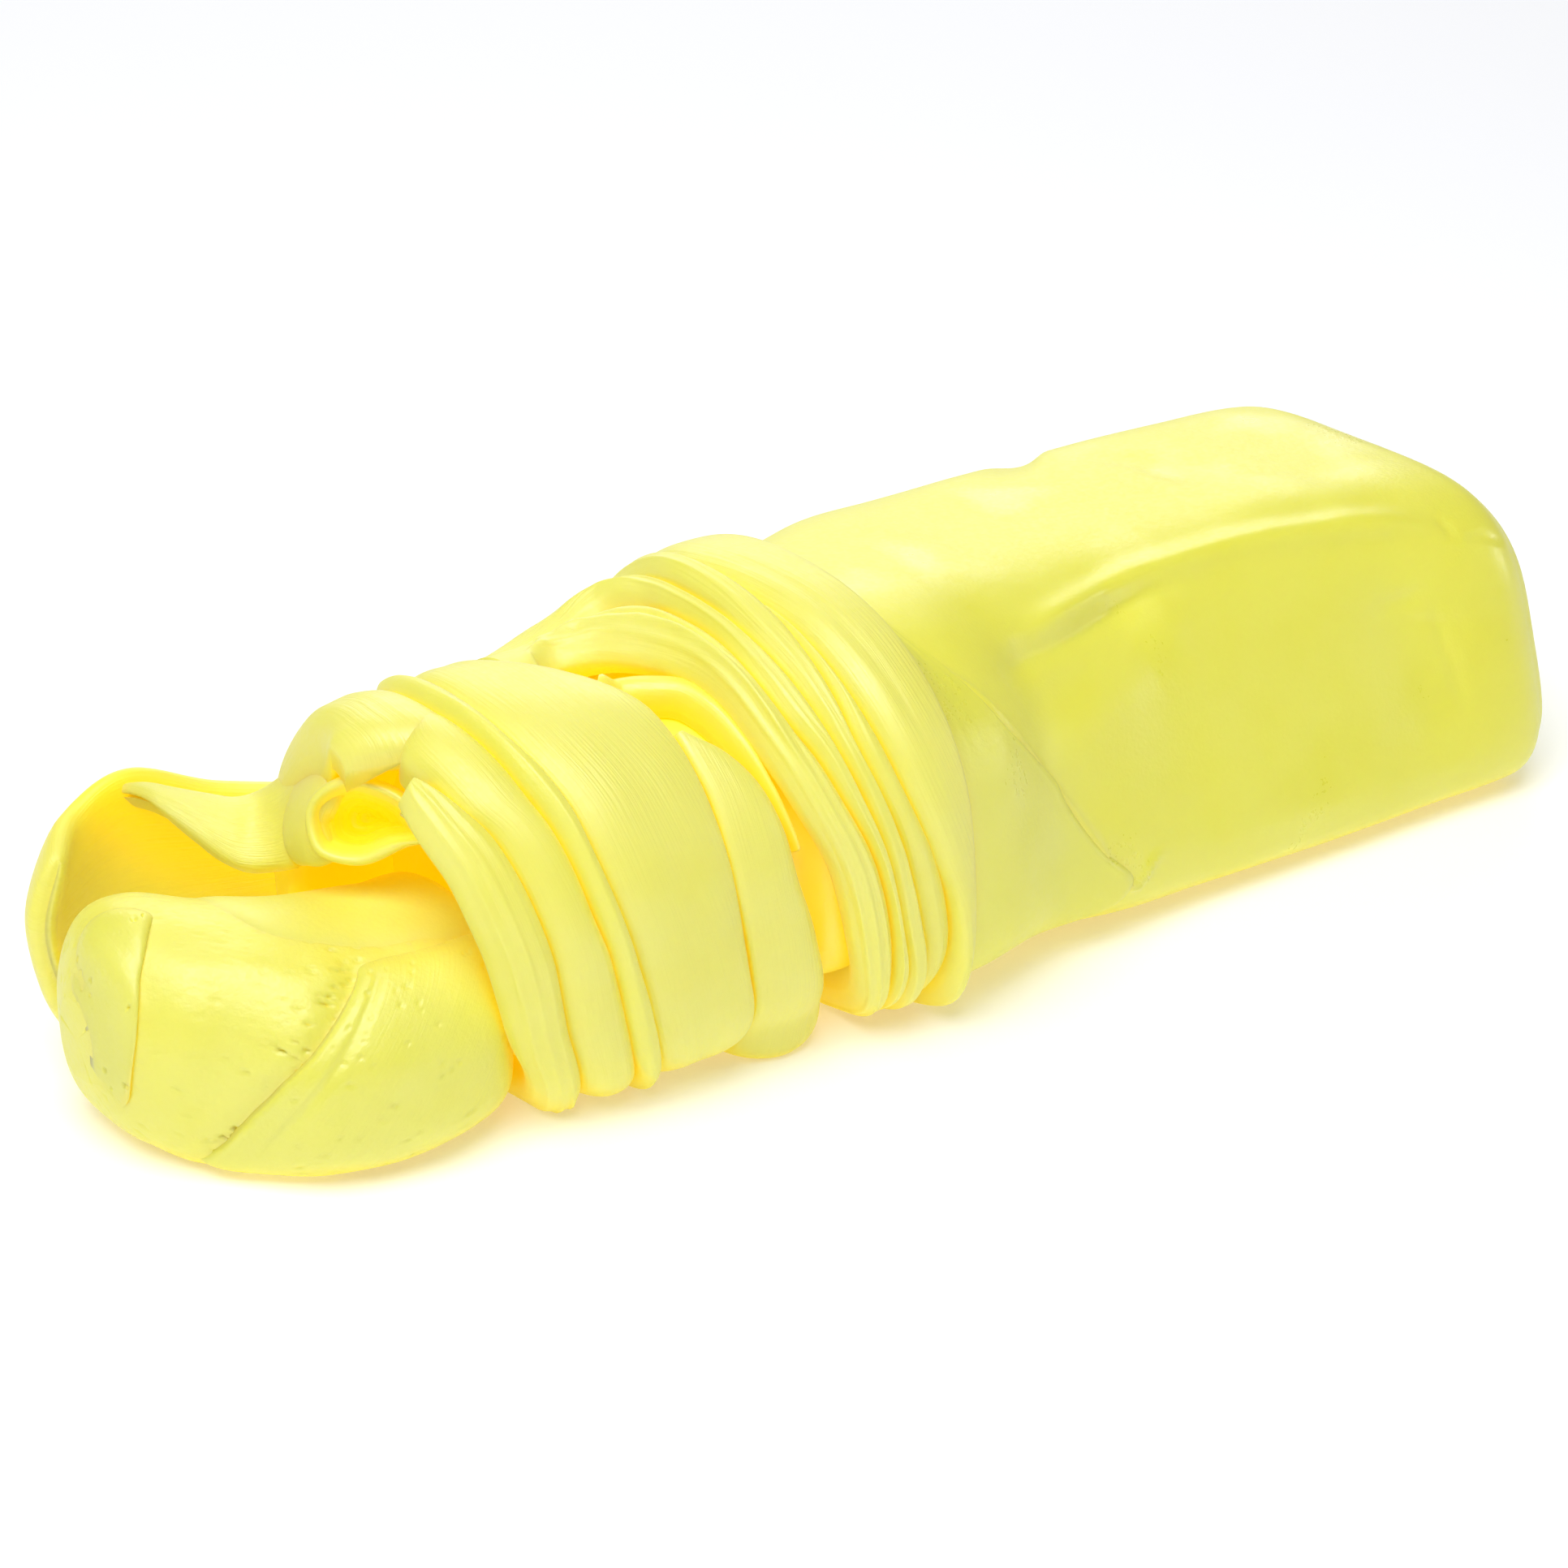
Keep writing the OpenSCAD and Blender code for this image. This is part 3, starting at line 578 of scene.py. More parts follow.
COLLAR = {
    "collar_pleat_1": (
        [[-4.6, -50, XR, -50], [-4.7, -32, XR, -32], [-4.7, -14, XR, -14], [-4.7, 4, XR, 4],
         [-4.6, 22, XR, 22], [-4.5, 40, XR, 40], [-5.0, 58, XR, 58], [-5.3, 76, XR, 76],
         [-5.0, 90, XR, 90], [-4.6, 104, XR, 104], [-4.4, 120, XR, 120], [-4.3, 136, XR, 136],
         [-3.9, 152, XR, 152], [-3.3, 166, XR, 166], [-2.3, 179, XR, 179], [-1.0, 190, XR, 190],
         [-0.6, 203, XR, 203], [-0.6, 220, XR, 220], [-0.7, 234, XR, 234], [-0.8, 247, XR, 247],
         [-0.8, 258, XR, 258]],
        fold(0.8, 1.9, 0.6, -0.25, 2.2, 2.0, 1.0),
        dict(lamination_count=2.0, lamination_height=0.08)),
    "collar_pleat_2": (
        [[-5.1, 100, -4.7, 100], [-5.1, 109, -4.6, 109], [-5.2, 119, -4.6, 119],
         [-5.3, 132, -4.5, 132], [-5.5, 146, -4.2, 146], [-5.1, 160, -3.7, 160],
         [-4.2, 175, -2.8, 173], [-3.2, 188, -1.3, 188], [-2.4, 203, -0.8, 203],
         [-2.1, 222, -0.8, 220], [-2.0, 235, -0.9, 234], [-2.0, 248, -1.0, 247],
         [-2.0, 258, -1.0, 258]],
        fold(0.2, 1.2, 1.2, 0.1, 2.2, 2.2, 0.4),
        dict(lamination_count=2.0, lamination_height=0.12)),
    "collar_pleat_3": (
        [[-7.2, -50, -4.9, -50], [-7.2, -30, -4.9, -30], [-7.2, -10, -4.9, -10],
         [-7.2, 10, -4.9, 10], [-7.2, 30, -4.8, 30], [-7.2, 50, -5.1, 50], [-7.2, 66, -5.4, 66],
         [-7.2, 80, -5.5, 80], [-7.2, 94, -5.1, 94], [-7.2, 106, -5.0, 106], [-7.1, 118, -5.2, 118],
         [-7.0, 132, -5.5, 132], [-6.8, 146, -5.7, 146], [-6.3, 160, -5.3, 160],
         [-5.6, 175, -4.4, 175], [-4.8, 188, -3.4, 188], [-4.0, 203, -2.6, 203],
         [-3.6, 222, -2.3, 222], [-3.4, 235, -2.2, 235], [-3.3, 248, -2.2, 248],
         [-3.3, 258, -2.2, 258]],
        fold(0.45, 1.2, 1.3, 0.0, 2.2, 2.2, 0.6, back=1.3, back_at=0.34),
        dict(lamination_count=3.0, lamination_height=0.14)),
    "collar_pleat_4": (
        [[-20.2, -50, -7.4, -50], [-20.4, -30, -7.4, -30], [-20.4, -12, -7.4, -12],
         [-20.4, 6, -7.4, 4], [-20.4, 24, -7.4, 18], [-20.2, 40, -7.4, 32], [-18.4, 50, -7.4, 44],
         [-13.4, 54, -7.4, 52], [-10.2, 60, -7.4, 60], [-8.7, 72, -7.4, 72], [-8.5, 84, -7.4, 84],
         [-8.5, 96, -7.4, 96], [-8.7, 108, -7.4, 108], [-8.9, 120, -7.3, 120],
         [-8.8, 132, -7.2, 132], [-8.1, 146, -7.0, 146], [-7.4, 160, -6.6, 160],
         [-6.3, 175, -5.8, 175], [-5.3, 188, -5.0, 188], [-4.8, 203, -4.2, 203],
         [-4.4, 222, -3.8, 222], [-4.2, 235, -3.6, 235], [-4.1, 247, -3.5, 247],
         [-4.1, 258, -3.5, 258]],
        fold(0.55, 1.3, 1.2, 0.0, 2.2, 2.2, 0.2, back=0.6, back_at=0.34),
        dict(lamination_count=3.0, lamination_height=0.18)),
    "collar_pleat_5": (
        [[-19.7, 68, -19.9, 54], [-17.6, 68, -17.4, 56], [-15.6, 70, -14.0, 60],
         [-14.0, 77, -10.8, 66], [-12.9, 86, -9.2, 76], [-12.0, 95, -8.9, 88],
         [-11.3, 106, -8.9, 102], [-11.0, 118, -9.1, 117], [-10.9, 132, -9.1, 132],
         [-10.5, 146, -8.4, 146], [-9.8, 160, -7.7, 160], [-8.7, 175, -6.6, 175],
         [-7.8, 188, -5.6, 188], [-7.0, 203, -5.1, 203], [-6.1, 220, -4.7, 220],
         [-5.6, 234, -4.5, 234], [-5.4, 246, -4.4, 246], [-5.4, 258, -4.4, 258]],
        fold(0.35, 1.9, 0.9, 0.2, 2.0, 2.2, 0.5),
        dict(lamination_count=4.0, lamination_height=0.26)),
}
STRETCH_LINES = {
    "collar_pleat_1": [(((-3.4, 80), (-2.6, 100), (-2.4, 120), (-2.0, 140),
                         (-1.4, 160)), 0.5, 0.12)],
    "collar_pleat_4": [(((-21, 40), (-16, 46), (-12, 50), (-9.6, 58), (-8.4, 74)), 0.7, -0.5),
                       (((-20, 28), (-14, 38), (-10.5, 46), (-8.6, 60)), 0.6, 0.45)],
    "collar_pleat_5": [(((-19.2, 74), (-15.8, 65), (-13.6, 67), (-12.2, 75), (-11.2, 83),
                         (-10.4, 93), (-10.2, 105), (-10.1, 118), (-9.9, 131),
                         (-9.4, 146)), 0.45, -0.4),
                       (((-16, 64), (-13.4, 63), (-11.4, 72), (-10.2, 84), (-9.6, 98),
                         (-9.6, 112)), 0.35, 0.4)],
}
for i, (node, (rows, shape, finish)) in enumerate(COLLAR.items()):
    rolled = (0.8, 0.0) if node == "collar_pleat_5" else (0.0, 0.0)
    rings, marks = strip(TWIST, rows, DEEP, shape, under=rolled,
                         columns=70 if i in (0, 3, 4) else 44,
                         lines=STRETCH_LINES.get(node, ()))
    piece(node, "clay_drawn", rings, PLACE, marks, unevenness=0.10, unevenness_size=5.0,
          seed=10 + i, **finish)

# ---- the neck and the fold at the bottom of the hollow ---------------------------------
# Under the collar the clay narrows to a neck. Behind the last pleat the twist has opened a deep
# hollow, with a small loose fold lying at its bottom.
DIP = 1.2   # how far the neck sinks under the hollow
neck_x = [-16, -15, -13.5, -11, -9, -7.5, -4, 0.5]
CORE = []
for x in neck_x:
    row = section_at(TWIST, np.array([float(x)]))[0].copy()
    if -16 < x < -7.5:
        row[2] -= DIP
        row[3] -= DIP * 0.6
    CORE.append([x, *row])


def lump(stations, x, raised, count=240):
    x = np.asarray(x, float)
    angle = even_angles(stations, x, count)
    rings = on_lump(stations, x[:, None], angle, raised)
    return rings, {"skin": 1.0, "along": x[:, None] + 0 * angle, "across_mm": 0 * angle}


rings, marks = lump(CORE, np.arange(-15.8, 0.45, 0.3), DEEP - 0.12)
# painted shade and painted glow on the neck under the hollow
marks["hollow"] = 0.45
piece("neck_core", "clay_drawn", rings, PLACE, marks, unevenness=0.5, unevenness_size=5.0, seed=21)
INNER_ROWS = [[-17.0, 95, -15.8, 90], [-15.5, 96, -14.3, 90], [-14.0, 101, -12.7, 95],
              [-12.7, 107, -11.4, 102], [-12.2, 114, -11.0, 110], [-11.9, 122, -10.9, 119],
              [-11.7, 131, -10.8, 129], [-11.4, 143, -10.7, 141], [-11.0, 157, -10.4, 155],
              [-10.4, 171, -10.0, 169]]
rings, marks = strip(CORE, INNER_ROWS, DEEP, fold(-0.4, 1.2, 1.0, 0.0, 2.0, 2.0), widen=0.05)
# painted shade and painted glow on the fold at the bottom of the hollow
marks["hollow"] = 0.3
piece("inner_fold", "clay_drawn", rings, PLACE, marks, unevenness=0.2, unevenness_size=3.0, seed=22)

# ---- the second lobe -------------------------------------------------------------------
# Past the hollow the clay was folded over itself in one broad band with a shelf beside it, a thin
# seam ridge, a middle pleat and a strand that curls up over the pocket at its top.


def emerging(shape, sunk, reach):
    """The same fold, rising out of the clay below it at its first end."""
    return lambda u, t: shape(u, t) - sunk * np.exp(-((t / reach) ** 2))


LOBE_FOLDS = {
    "band_shelf": (
        [[-15.5, 123, -14.9, 123], [-15.5, 133, -13.1, 132], [-15.4, 145, -11.9, 145],
         [-15.4, 160, -11.3, 160], [-15.2, 176, -10.9, 176], [-14.6, 189, -9.9, 189],
         [-13.9, 206, -8.9, 206], [-13.6, 222, -8.1, 222], [-14.0, 235, -7.6, 235],
         [-14.4, 247, -7.4, 247], [-14.4, 258, -7.4, 258]],
        fold(-0.1, 0.5, 1.8, -0.2, 3.0, 3.0, 2.0, 0.82),
        dict(lamination_count=2.0, lamination_height=0.05), (0.0, 1.0)),
    "broad_band": (
        [[-23.0, -50, -20.6, -50], [-23.2, -30, -20.6, -30], [-23.4, -12, -20.6, -12],
         [-23.6, 6, -20.6, 6], [-23.9, 24, -20.6, 24], [-24.4, 42, -20.6, 42],
         [-25.0, 58, -20.5, 58], [-25.5, 72, -20.0, 72], [-25.7, 84, -18.8, 82],
         [-25.7, 96, -16.9, 95], [-25.5, 108, -15.9, 108], [-25.2, 120, -15.7, 120],
         [-24.5, 136, -15.7, 136], [-24.1, 150, -15.7, 150], [-23.6, 164, -15.6, 164],
         [-22.8, 178, -15.4, 178], [-21.8, 191, -14.9, 191], [-20.9, 206, -14.2, 206],
         [-20.0, 222, -13.8, 222], [-19.5, 235, -14.2, 235], [-19.2, 247, -14.6, 247],
         [-19.2, 258, -14.6, 258]],
        fold(0.5, 1.2, 1.3, 0.1, 4.0, 3.0, 0.0), dict(lamination_count=3.0, lamination_height=0.04),
        (0.0, 0.6)),
    "seam_ridge": (
        [[-27.0, 56, -25.3, 58], [-27.4, 70, -25.7, 72], [-27.5, 84, -25.9, 84],
         [-27.2, 98, -25.9, 96], [-26.8, 112, -25.7, 110], [-26.4, 126, -25.1, 124],
         [-25.8, 140, -24.6, 138], [-25.3, 154, -24.3, 152], [-24.8, 167, -23.7, 166],
         [-24.0, 180, -22.9, 180], [-23.2, 193, -21.9, 192], [-22.4, 208, -21.0, 207],
         [-21.4, 223, -20.2, 222], [-20.9, 236, -19.8, 235], [-20.6, 249, -19.5, 248],
         [-20.6, 258, -19.5, 258]],
        fold(0.6, 1.5, 0.9, 0.0, 2.2, 2.2, 0.2), dict(lamination_count=2.0, lamination_height=0.12),
        (0.0, 0.0)),
    "mid_pleat": (
        [[-29.6, 80, -27.5, 78], [-29.8, 88, -27.4, 86], [-30.2, 96, -27.3, 94],
         [-30.8, 106, -27.1, 103], [-30.2, 129, -26.5, 128], [-29.2, 141, -25.9, 142],
         [-28.5, 155, -25.4, 156], [-27.9, 168, -24.9, 169], [-27.2, 182, -24.0, 182],
         [-26.6, 195, -23.2, 195], [-25.7, 210, -22.4, 210], [-24.8, 227, -21.5, 225],
         [-24.1, 243, -20.9, 240], [-24.1, 258, -20.9, 258]],
        emerging(fold(0.35, 1.3, 1.3, 0.0, 2.4, 2.6, 0.2), 1.3, 0.1),
        dict(lamination_count=2.0, lamination_height=0.05), (0.0, 0.0)),
    "curl_strand": (
        [[-32.5, 119, -31.6, 116], [-32.6, 128, -30.9, 122], [-32.4, 139, -30.2, 131],
         [-31.9, 151, -29.4, 141], [-31.4, 165, -28.7, 155], [-30.8, 177, -28.1, 168],
         [-30.1, 189, -27.4, 182], [-29.4, 201, -26.8, 195], [-28.4, 214, -25.9, 210],
         [-27.6, 229, -25.0, 227], [-26.9, 246, -24.3, 244], [-26.9, 258, -24.3, 258]],
        fold(0.6, 1.6, 1.2, 0.0, 2.2, 2.2, 0.3), dict(lamination_count=4.0, lamination_height=0.22),
        (0.8, 0.0)),
}
for i, (node, (rows, shape, finish, rolled)) in enumerate(LOBE_FOLDS.items()):
    slot = "clay_torn" if node == "seam_ridge" else "clay_drawn"
    rings, marks = strip(TWIST, rows, DEEP, shape, under=rolled,
                         columns=90 if node == "broad_band" else 56)
    piece(node, slot, rings, PLACE, marks, unevenness=0.14, unevenness_size=6.0, seed=30 + i,
          **finish)
rings, marks = lump(TWIST, np.arange(-26.4, -15.9, 0.3), DEEP - 0.12)
# painted shade and painted glow on the core under the second lobe's folds
marks["hollow"] = 0.7
piece("lobe_core", "clay_drawn", rings, PLACE, marks, unevenness=0.2, unevenness_size=5.0, seed=36)

# ---- the curl --------------------------------------------------------------------------
# The end of the broad fold is rolled in on itself. A roof of clay runs over a small pocket, and the
# rolled-in clay lies inside it.
ROOF_ROWS = [[-33.0, -40, -23.2, -44], [-33.4, -24, -23.4, -28], [-33.4, -6, -23.6, -10],
             [-33.2, 12, -23.8, 8], [-33.0, 28, -24.1, 26], [-32.8, 44, -24.6, 42],
             [-32.6, 58, -27.2, 56], [-32.6, 70, -27.6, 71], [-32.8, 78, -27.7, 82],
             [-33.0, 84, -27.6, 93], [-33.0, 92, -27.6, 113]]
ROOF_COLUMNS, SIDE_COLUMNS = 80, 6   # across the roof, and on its side over the pocket
LIP_THICK = 1.3
# the roof thins to a rolled lip over the pocket
done = np.linspace(0, 1, (len(ROOF_ROWS) - 1) * PER_ROW + 1)[:, None]


def to_lip(t):
    return np.clip((t - 0.60) / 0.30, 0, 1)


def roof_height(u, t):
    rolled = fold(0.4, 4.0, 0.8, -0.1, 3.6, 3.0)(u, t)
    thin = fold(0.4, 1.0, 0.8, -0.1, 2.6, 3.0)(u, t)
    return rolled + (thin - rolled) * to_lip(t) - 1.0 * np.clip((t - 0.90) / 0.10, 0, 1) ** 2.5


beneath = np.linspace(1, 0, INNER_COLUMNS)[None]
roof_deep = -4.6 * (1 - to_lip(done)) + (roof_height(beneath, done) - LIP_THICK) * to_lip(done)
rings, marks = strip(TWIST, ROOF_ROWS, roof_deep, roof_height, columns=ROOF_COLUMNS)
# painted shade and painted glow on the roof's side over the pocket and on its underside
side = np.where((np.arange(ROOF_COLUMNS)[None] < SIDE_COLUMNS) & (done < 0.4), 0.6, 0.0)
marks["hollow"] = np.concatenate([side, np.full((len(done), INNER_COLUMNS), 0.7)], 1)
roof = piece("curl_roof", "clay_drawn", rings, PLACE, marks, lamination_count=3.0,
             lamination_height=0.06,
             unevenness=0.2, unevenness_size=6.0, seed=41)
RIM_POINTS, FACE_RINGS, LIP_RINGS, BACK_RINGS = 144, 44, 8, 10
LIP_WIDE, LIP_HIGH, CURL_BACK = 0.35, 0.6, 1.2
rim = np.array([[-33.6, 1.0, 18.2], [-32.7, 0.0, 19.3], [-31.9, -1.0, 19.5], [-30.6, -3.0, 18.9],
                [-29.9, -5.0, 17.4], [-31.2, -3.2, 16.6], [-32.6, -1.6, 15.6], [-33.9, 0.0, 15.8],
                [-33.9, 1.0, 17.0]])
deepest = np.array([-29.6, 2.4, 15.6])
loop = np.concatenate([rim[-1:], rim, rim[:2]])
turns = np.linspace(1, 1 + len(rim), RIM_POINTS + 1)[:-1]
rim = smooth_rows(loop, turns)
inward = rim.mean(0) - deepest
inward /= np.linalg.norm(inward)
spread = rim - deepest
axial = (spread @ inward)[:, None] * inward
spread = spread - axial
r = np.linspace(0.02, 1, FACE_RINGS)[:, None, None]
front = deepest + spread * r + axial * r**1.8
lip_turn = np.linspace(0, math.pi, LIP_RINGS + 1)[1:, None, None]
outward = spread / np.linalg.norm(spread, axis=1, keepdims=True)
lip = (deepest + spread + axial + outward * LIP_WIDE * (1 - np.cos(lip_turn))
       + inward * LIP_HIGH * np.sin(lip_turn))
back = (lip[-1] - inward * CURL_BACK
        + (deepest - inward - lip[-1]) * np.linspace(0, 0.98, BACK_RINGS)[:, None, None])
rings = np.concatenate([front, lip, back])
turn = np.linspace(0, 1, rings.shape[1], endpoint=False)[None]
shown = np.concatenate([np.ones(FACE_RINGS), np.zeros(LIP_RINGS + BACK_RINGS)])[:, None]
radius = np.concatenate([r[:, 0, 0], np.ones(LIP_RINGS + BACK_RINGS)])[:, None]
# painted shade and painted glow inside the curl, strongest at its centre
piece("curl_core", "clay_drawn", rings, PLACE,
      {"skin": shown * np.clip(1.1 - radius, 0, 0.2) * 5,
       "hollow": np.clip(1.15 - radius, 0, 0.75) * shown,
       "across": radius + turn / 4, "across_mm": 4 * radius + 0 * turn,
       "along": 12 * turn + 0 * radius},
      lamination_count=4.0, lamination_height=0.28, lamination_wander=0.5, unevenness=0.3,
      unevenness_size=3.0, seed=42)

# ---- the sheet folded over at the back -------------------------------------------------
# A sheet of clay was drawn out of the lobe, stood on its edge and looped round the back of the
# tail. Its top edge folds down towards the curl.


SHEET_PER_ROW = 14   # points from one row of a sheet's grid to the next


def sheet(grid, thick, per=SHEET_PER_ROW, facing=(-0.5, -0.6, 0.7), rim_round=10):
    """A sheet whose shown face is a grid of points. Its thickness goes behind that, and its rim is
    rounded."""
    g = np.asarray(grid, float)
    at_a = np.linspace(0, g.shape[0] - 1, (g.shape[0] - 1) * per + 1)
    at_b = np.linspace(0, g.shape[1] - 1, (g.shape[1] - 1) * per + 1)
    g = smooth_rows(g.reshape(g.shape[0], -1), at_a).reshape(len(at_a), g.shape[1], 3)
    g = np.swapaxes(g, 0, 1)
    g = smooth_rows(g.reshape(g.shape[0], -1), at_b).reshape(len(at_b), len(at_a), 3)
    g = np.swapaxes(g, 0, 1)
    n = np.cross(np.gradient(g, axis=0), np.gradient(g, axis=1))
    n /= np.linalg.norm(n, axis=-1, keepdims=True)
    if (n @ np.array(facing)).mean() < 0:
        n = -n
    a = np.linspace(-1, 1, len(at_a))[:, None]
    b = np.linspace(-1, 1, len(at_b))[None]
    full = (np.sqrt(np.maximum(1 - np.abs(b) ** rim_round, 0.02))
            * np.sqrt(np.maximum(1 - np.abs(a) ** (2 * rim_round), 0.02)))
    thick = thick * np.ones_like(full)
    middle = g - n * (thick / 2)[..., None]
    half = (thick / 2 * full)[..., None]
    rings = np.concatenate([middle + n * half, (middle - n * half)[:, ::-1]], 1)
    run = np.concatenate([np.linspace(0, 20, len(at_b)), np.linspace(20, 0, len(at_b))])[None]
    skin = np.clip((1 - np.abs(b)) * 8, 0, 1) * np.clip((1 - np.abs(a)) * 8, 0, 1)
    return rings, {"skin": np.concatenate([skin, skin[:, ::-1]], 1),
                   "across": run / 20 + 0 * a, "across_mm": run + 0 * a, "along": 20 * a + 0 * run}


# the roof over the curl ends in a nose that rolls down in front of the pocket
NOSE = [[[-31.8, 9.0, 16.4], [-31.4, 6.8, 18.8], [-30.6, 5.0, 20.9], [-29.4, 3.2, 22.3]],
        [[-33.0, 7.4, 15.8], [-32.7, 5.2, 17.9], [-32.1, 3.4, 19.6], [-31.1, 1.8, 20.8]],
        [[-34.0, 5.8, 14.8], [-33.9, 4.3, 16.5], [-33.6, 2.6, 18.0], [-33.2, 1.2, 19.0]],
        [[-34.4, 4.6, 13.9], [-34.7, 3.4, 15.1], [-34.6, 2.1, 16.2], [-34.2, 1.0, 17.2]],
        [[-34.2, 3.8, 13.2], [-34.6, 2.7, 14.1], [-34.5, 1.4, 14.7], [-33.9, 0.2, 15.5]],
        [[-33.6, 3.2, 12.8], [-34.0, 2.1, 13.5], [-33.9, 0.8, 13.9], [-33.3, -0.4, 14.7]]]
NOSE_THICK = 1.8
rings, marks = sheet(NOSE, NOSE_THICK, rim_round=5)
nose = piece("curl_roof", "clay_drawn", rings, PLACE, marks, unevenness=0.15, unevenness_size=4.0,
             seed=43)
join(roof, nose)
DRAPE = [[[-41.0, 15.2, 15.4], [-41.2, 15.1, 15.9], [-41.3, 14.9, 16.1], [-41.3, 14.7, 15.8]],
         [[-38.6, 13.9, 15.0], [-39.1, 13.0, 16.5], [-39.7, 12.6, 16.7], [-40.0, 12.4, 16.1]],
         [[-37.0, 13.1, 14.5], [-37.6, 11.9, 16.2], [-38.6, 10.8, 16.4], [-39.3, 10.2, 15.6]],
         [[-35.6, 12.4, 13.8], [-36.1, 10.8, 15.8], [-37.2, 9.1, 15.8], [-38.2, 7.9, 14.3]],
         [[-34.0, 11.8, 13.4], [-34.6, 9.8, 15.5], [-35.9, 7.8, 15.3], [-37.2, 6.4, 13.2]],
         [[-32.4, 11.0, 13.4], [-33.2, 9.2, 15.8], [-34.7, 7.2, 15.2], [-36.3, 5.4, 12.9]],
         [[-31.0, 9.6, 14.6], [-32.2, 8.0, 17.0], [-33.8, 6.0, 15.9], [-35.2, 4.4, 12.9]],
         [[-29.8, 7.8, 16.6], [-31.2, 6.4, 18.8], [-33.2, 4.8, 17.4], [-34.6, 3.4, 13.2]]]
TIP_THICK, TIP_GAIN, TIP_ROWS = 0.5, 1.2, 30   # the drape thickens over its first rows
drape_thick = TIP_THICK + TIP_GAIN * np.clip(
    np.arange((len(DRAPE) - 1) * SHEET_PER_ROW + 1) / TIP_ROWS, 0, 1)[:, None]
rings, marks = sheet(DRAPE, drape_thick)
piece("rear_drape", "clay_drawn", rings, PLACE, marks, unevenness=0.15, unevenness_size=4.0,
      seed=51)
LOOP = [[[-45.2, 9.6, 3.2], [-46.5, 9.2, 6.6], [-47.1, 9.2, 10.6], [-45.6, 9.4, 14.4]],
        [[-43.6, 12.0, 1.8], [-44.7, 12.4, 6.0], [-45.0, 12.2, 10.8], [-43.4, 12.0, 15.8]],
        [[-40.0, 13.2, 1.0], [-40.4, 13.8, 6.0], [-40.4, 13.8, 11.4], [-39.6, 12.8, 17.0]],
        [[-34.3, 12.2, 1.0], [-34.3, 12.8, 6.0], [-34.3, 12.8, 10.8], [-34.3, 12.2, 14.8]],
        [[-29.0, 10.6, 1.0], [-29.0, 11.0, 6.0], [-29.0, 11.0, 10.4], [-29.0, 10.4, 13.8]]]
LOOP_THICK = 2.2
rings, marks = sheet(LOOP, LOOP_THICK, facing=(0, -1, 0), rim_round=4)
# painted shade and painted glow along the inside of the loop, under its folded top edge
deep, _ = from_line(rings,
                    np.array([[-41.0, 13.2, 15.4], [-38.0, 13.2, 12.6], [-34.0, 12.6, 10.0],
                              [-29.0, 11.0, 8.0]]))
marks["hollow"] = 0.08 + 0.9 * np.exp(-((deep / 3.2) ** 2))
piece("rear_loop", "clay_drawn", rings, PLACE, marks, unevenness=0.25, unevenness_size=5.0, seed=52)

# ---- the front lobe --------------------------------------------------------------------
# The tail end is a rounded stub. A skin of clay laps over it along a diagonal crease, another
# closes its tip like a cap, and a thin flat web runs back from it into the valley.
# x, centre y, centre z, half width, half height, squareness, lean, taper
LOBE = [
    [-49.8, 2.6, 7.0, 2.0, 2.6, 2.2, 0, 0],
    [-49.0, 2.2, 7.0, 4.4, 4.8, 2.2, 0, 0],
    [-47.4, 1.8, 7.1, 6.4, 6.4, 2.3, 0.8, 0],
    [-44.5, 0.6, 7.1, 8.2, 7.1, 2.2, 1.6, 0],
    [-41, -1.6, 6.8, 9.2, 6.8, 2.15, 1.4, 0],
    [-36, -3.2, 6.4, 9.2, 6.4, 2.15, 0.8, 0],
    [-31, -3.4, 6.2, 8.6, 6.2, 2.2, 0.2, 0],
    [-28, -2.6, 6.0, 7.4, 6.0, 2.5, 0, 0],
    [-26.6, -2.0, 6.0, 5.8, 5.2, 2.3, 0, 0]]
lobe_x = np.concatenate([-48.6 - 1.2 * np.cos(np.linspace(0, math.pi / 2, 18)),
                         np.arange(-48.3, -27.5, 0.25),
                         np.linspace(-27.4, -26.6, 6)])
lobe_angle = even_angles(LOBE, lobe_x, 300)
flat = on_lump(LOBE, lobe_x[:, None], lobe_angle)


def on_lobe(*spots):
    spots = np.array(spots, float)
    return on_lump(LOBE, spots[:, 0], spots[:, 1])


diagonal = on_lobe((-36.2, 116), (-36.8, 126), (-38, 138), (-39.6, 152), (-41, 164), (-42.2, 177),
                   (-43.4, 185), (-44.6, 194), (-45.6, 211), (-46.4, 226))
beside = on_lobe((-37.4, 118), (-38.2, 128), (-39.4, 140), (-40.9, 154), (-42.2, 166), (-43.4, 178),
                 (-44.6, 186), (-45.6, 196))
facet = on_lobe((-43.8, 112), (-45, 132), (-45.8, 148), (-46.6, 163), (-47.4, 179), (-48, 191),
                (-48.4, 212))
thumbed = on_lobe((-43.4, 119), (-42.2, 125), (-40, 130), (-36.6, 118))
height = (pressed(flat, diagonal, 0.9, 0.35, 0.1) + pressed(flat, facet, 2.0, -0.45, 0.2)
          + pressed(flat, thumbed, 1.4, -0.25, 0.25))
torn, _ = from_line(flat, beside)
rings = on_lump(LOBE, lobe_x[:, None], lobe_angle, height)
marks = {"skin": 1.0, "along": lobe_x[:, None] + 0 * lobe_angle, "across_mm": 0.0,
         "pitted": 0.25 + 1.2 * np.exp(-((torn / 1.3) ** 2))}
piece("front_lobe", "clay_torn", rings, PLACE, marks, unevenness=0.3, unevenness_size=7.0,
      pit_depth=0.40, pit_spacing=0.62, pit_cover=0.62, seed=61)
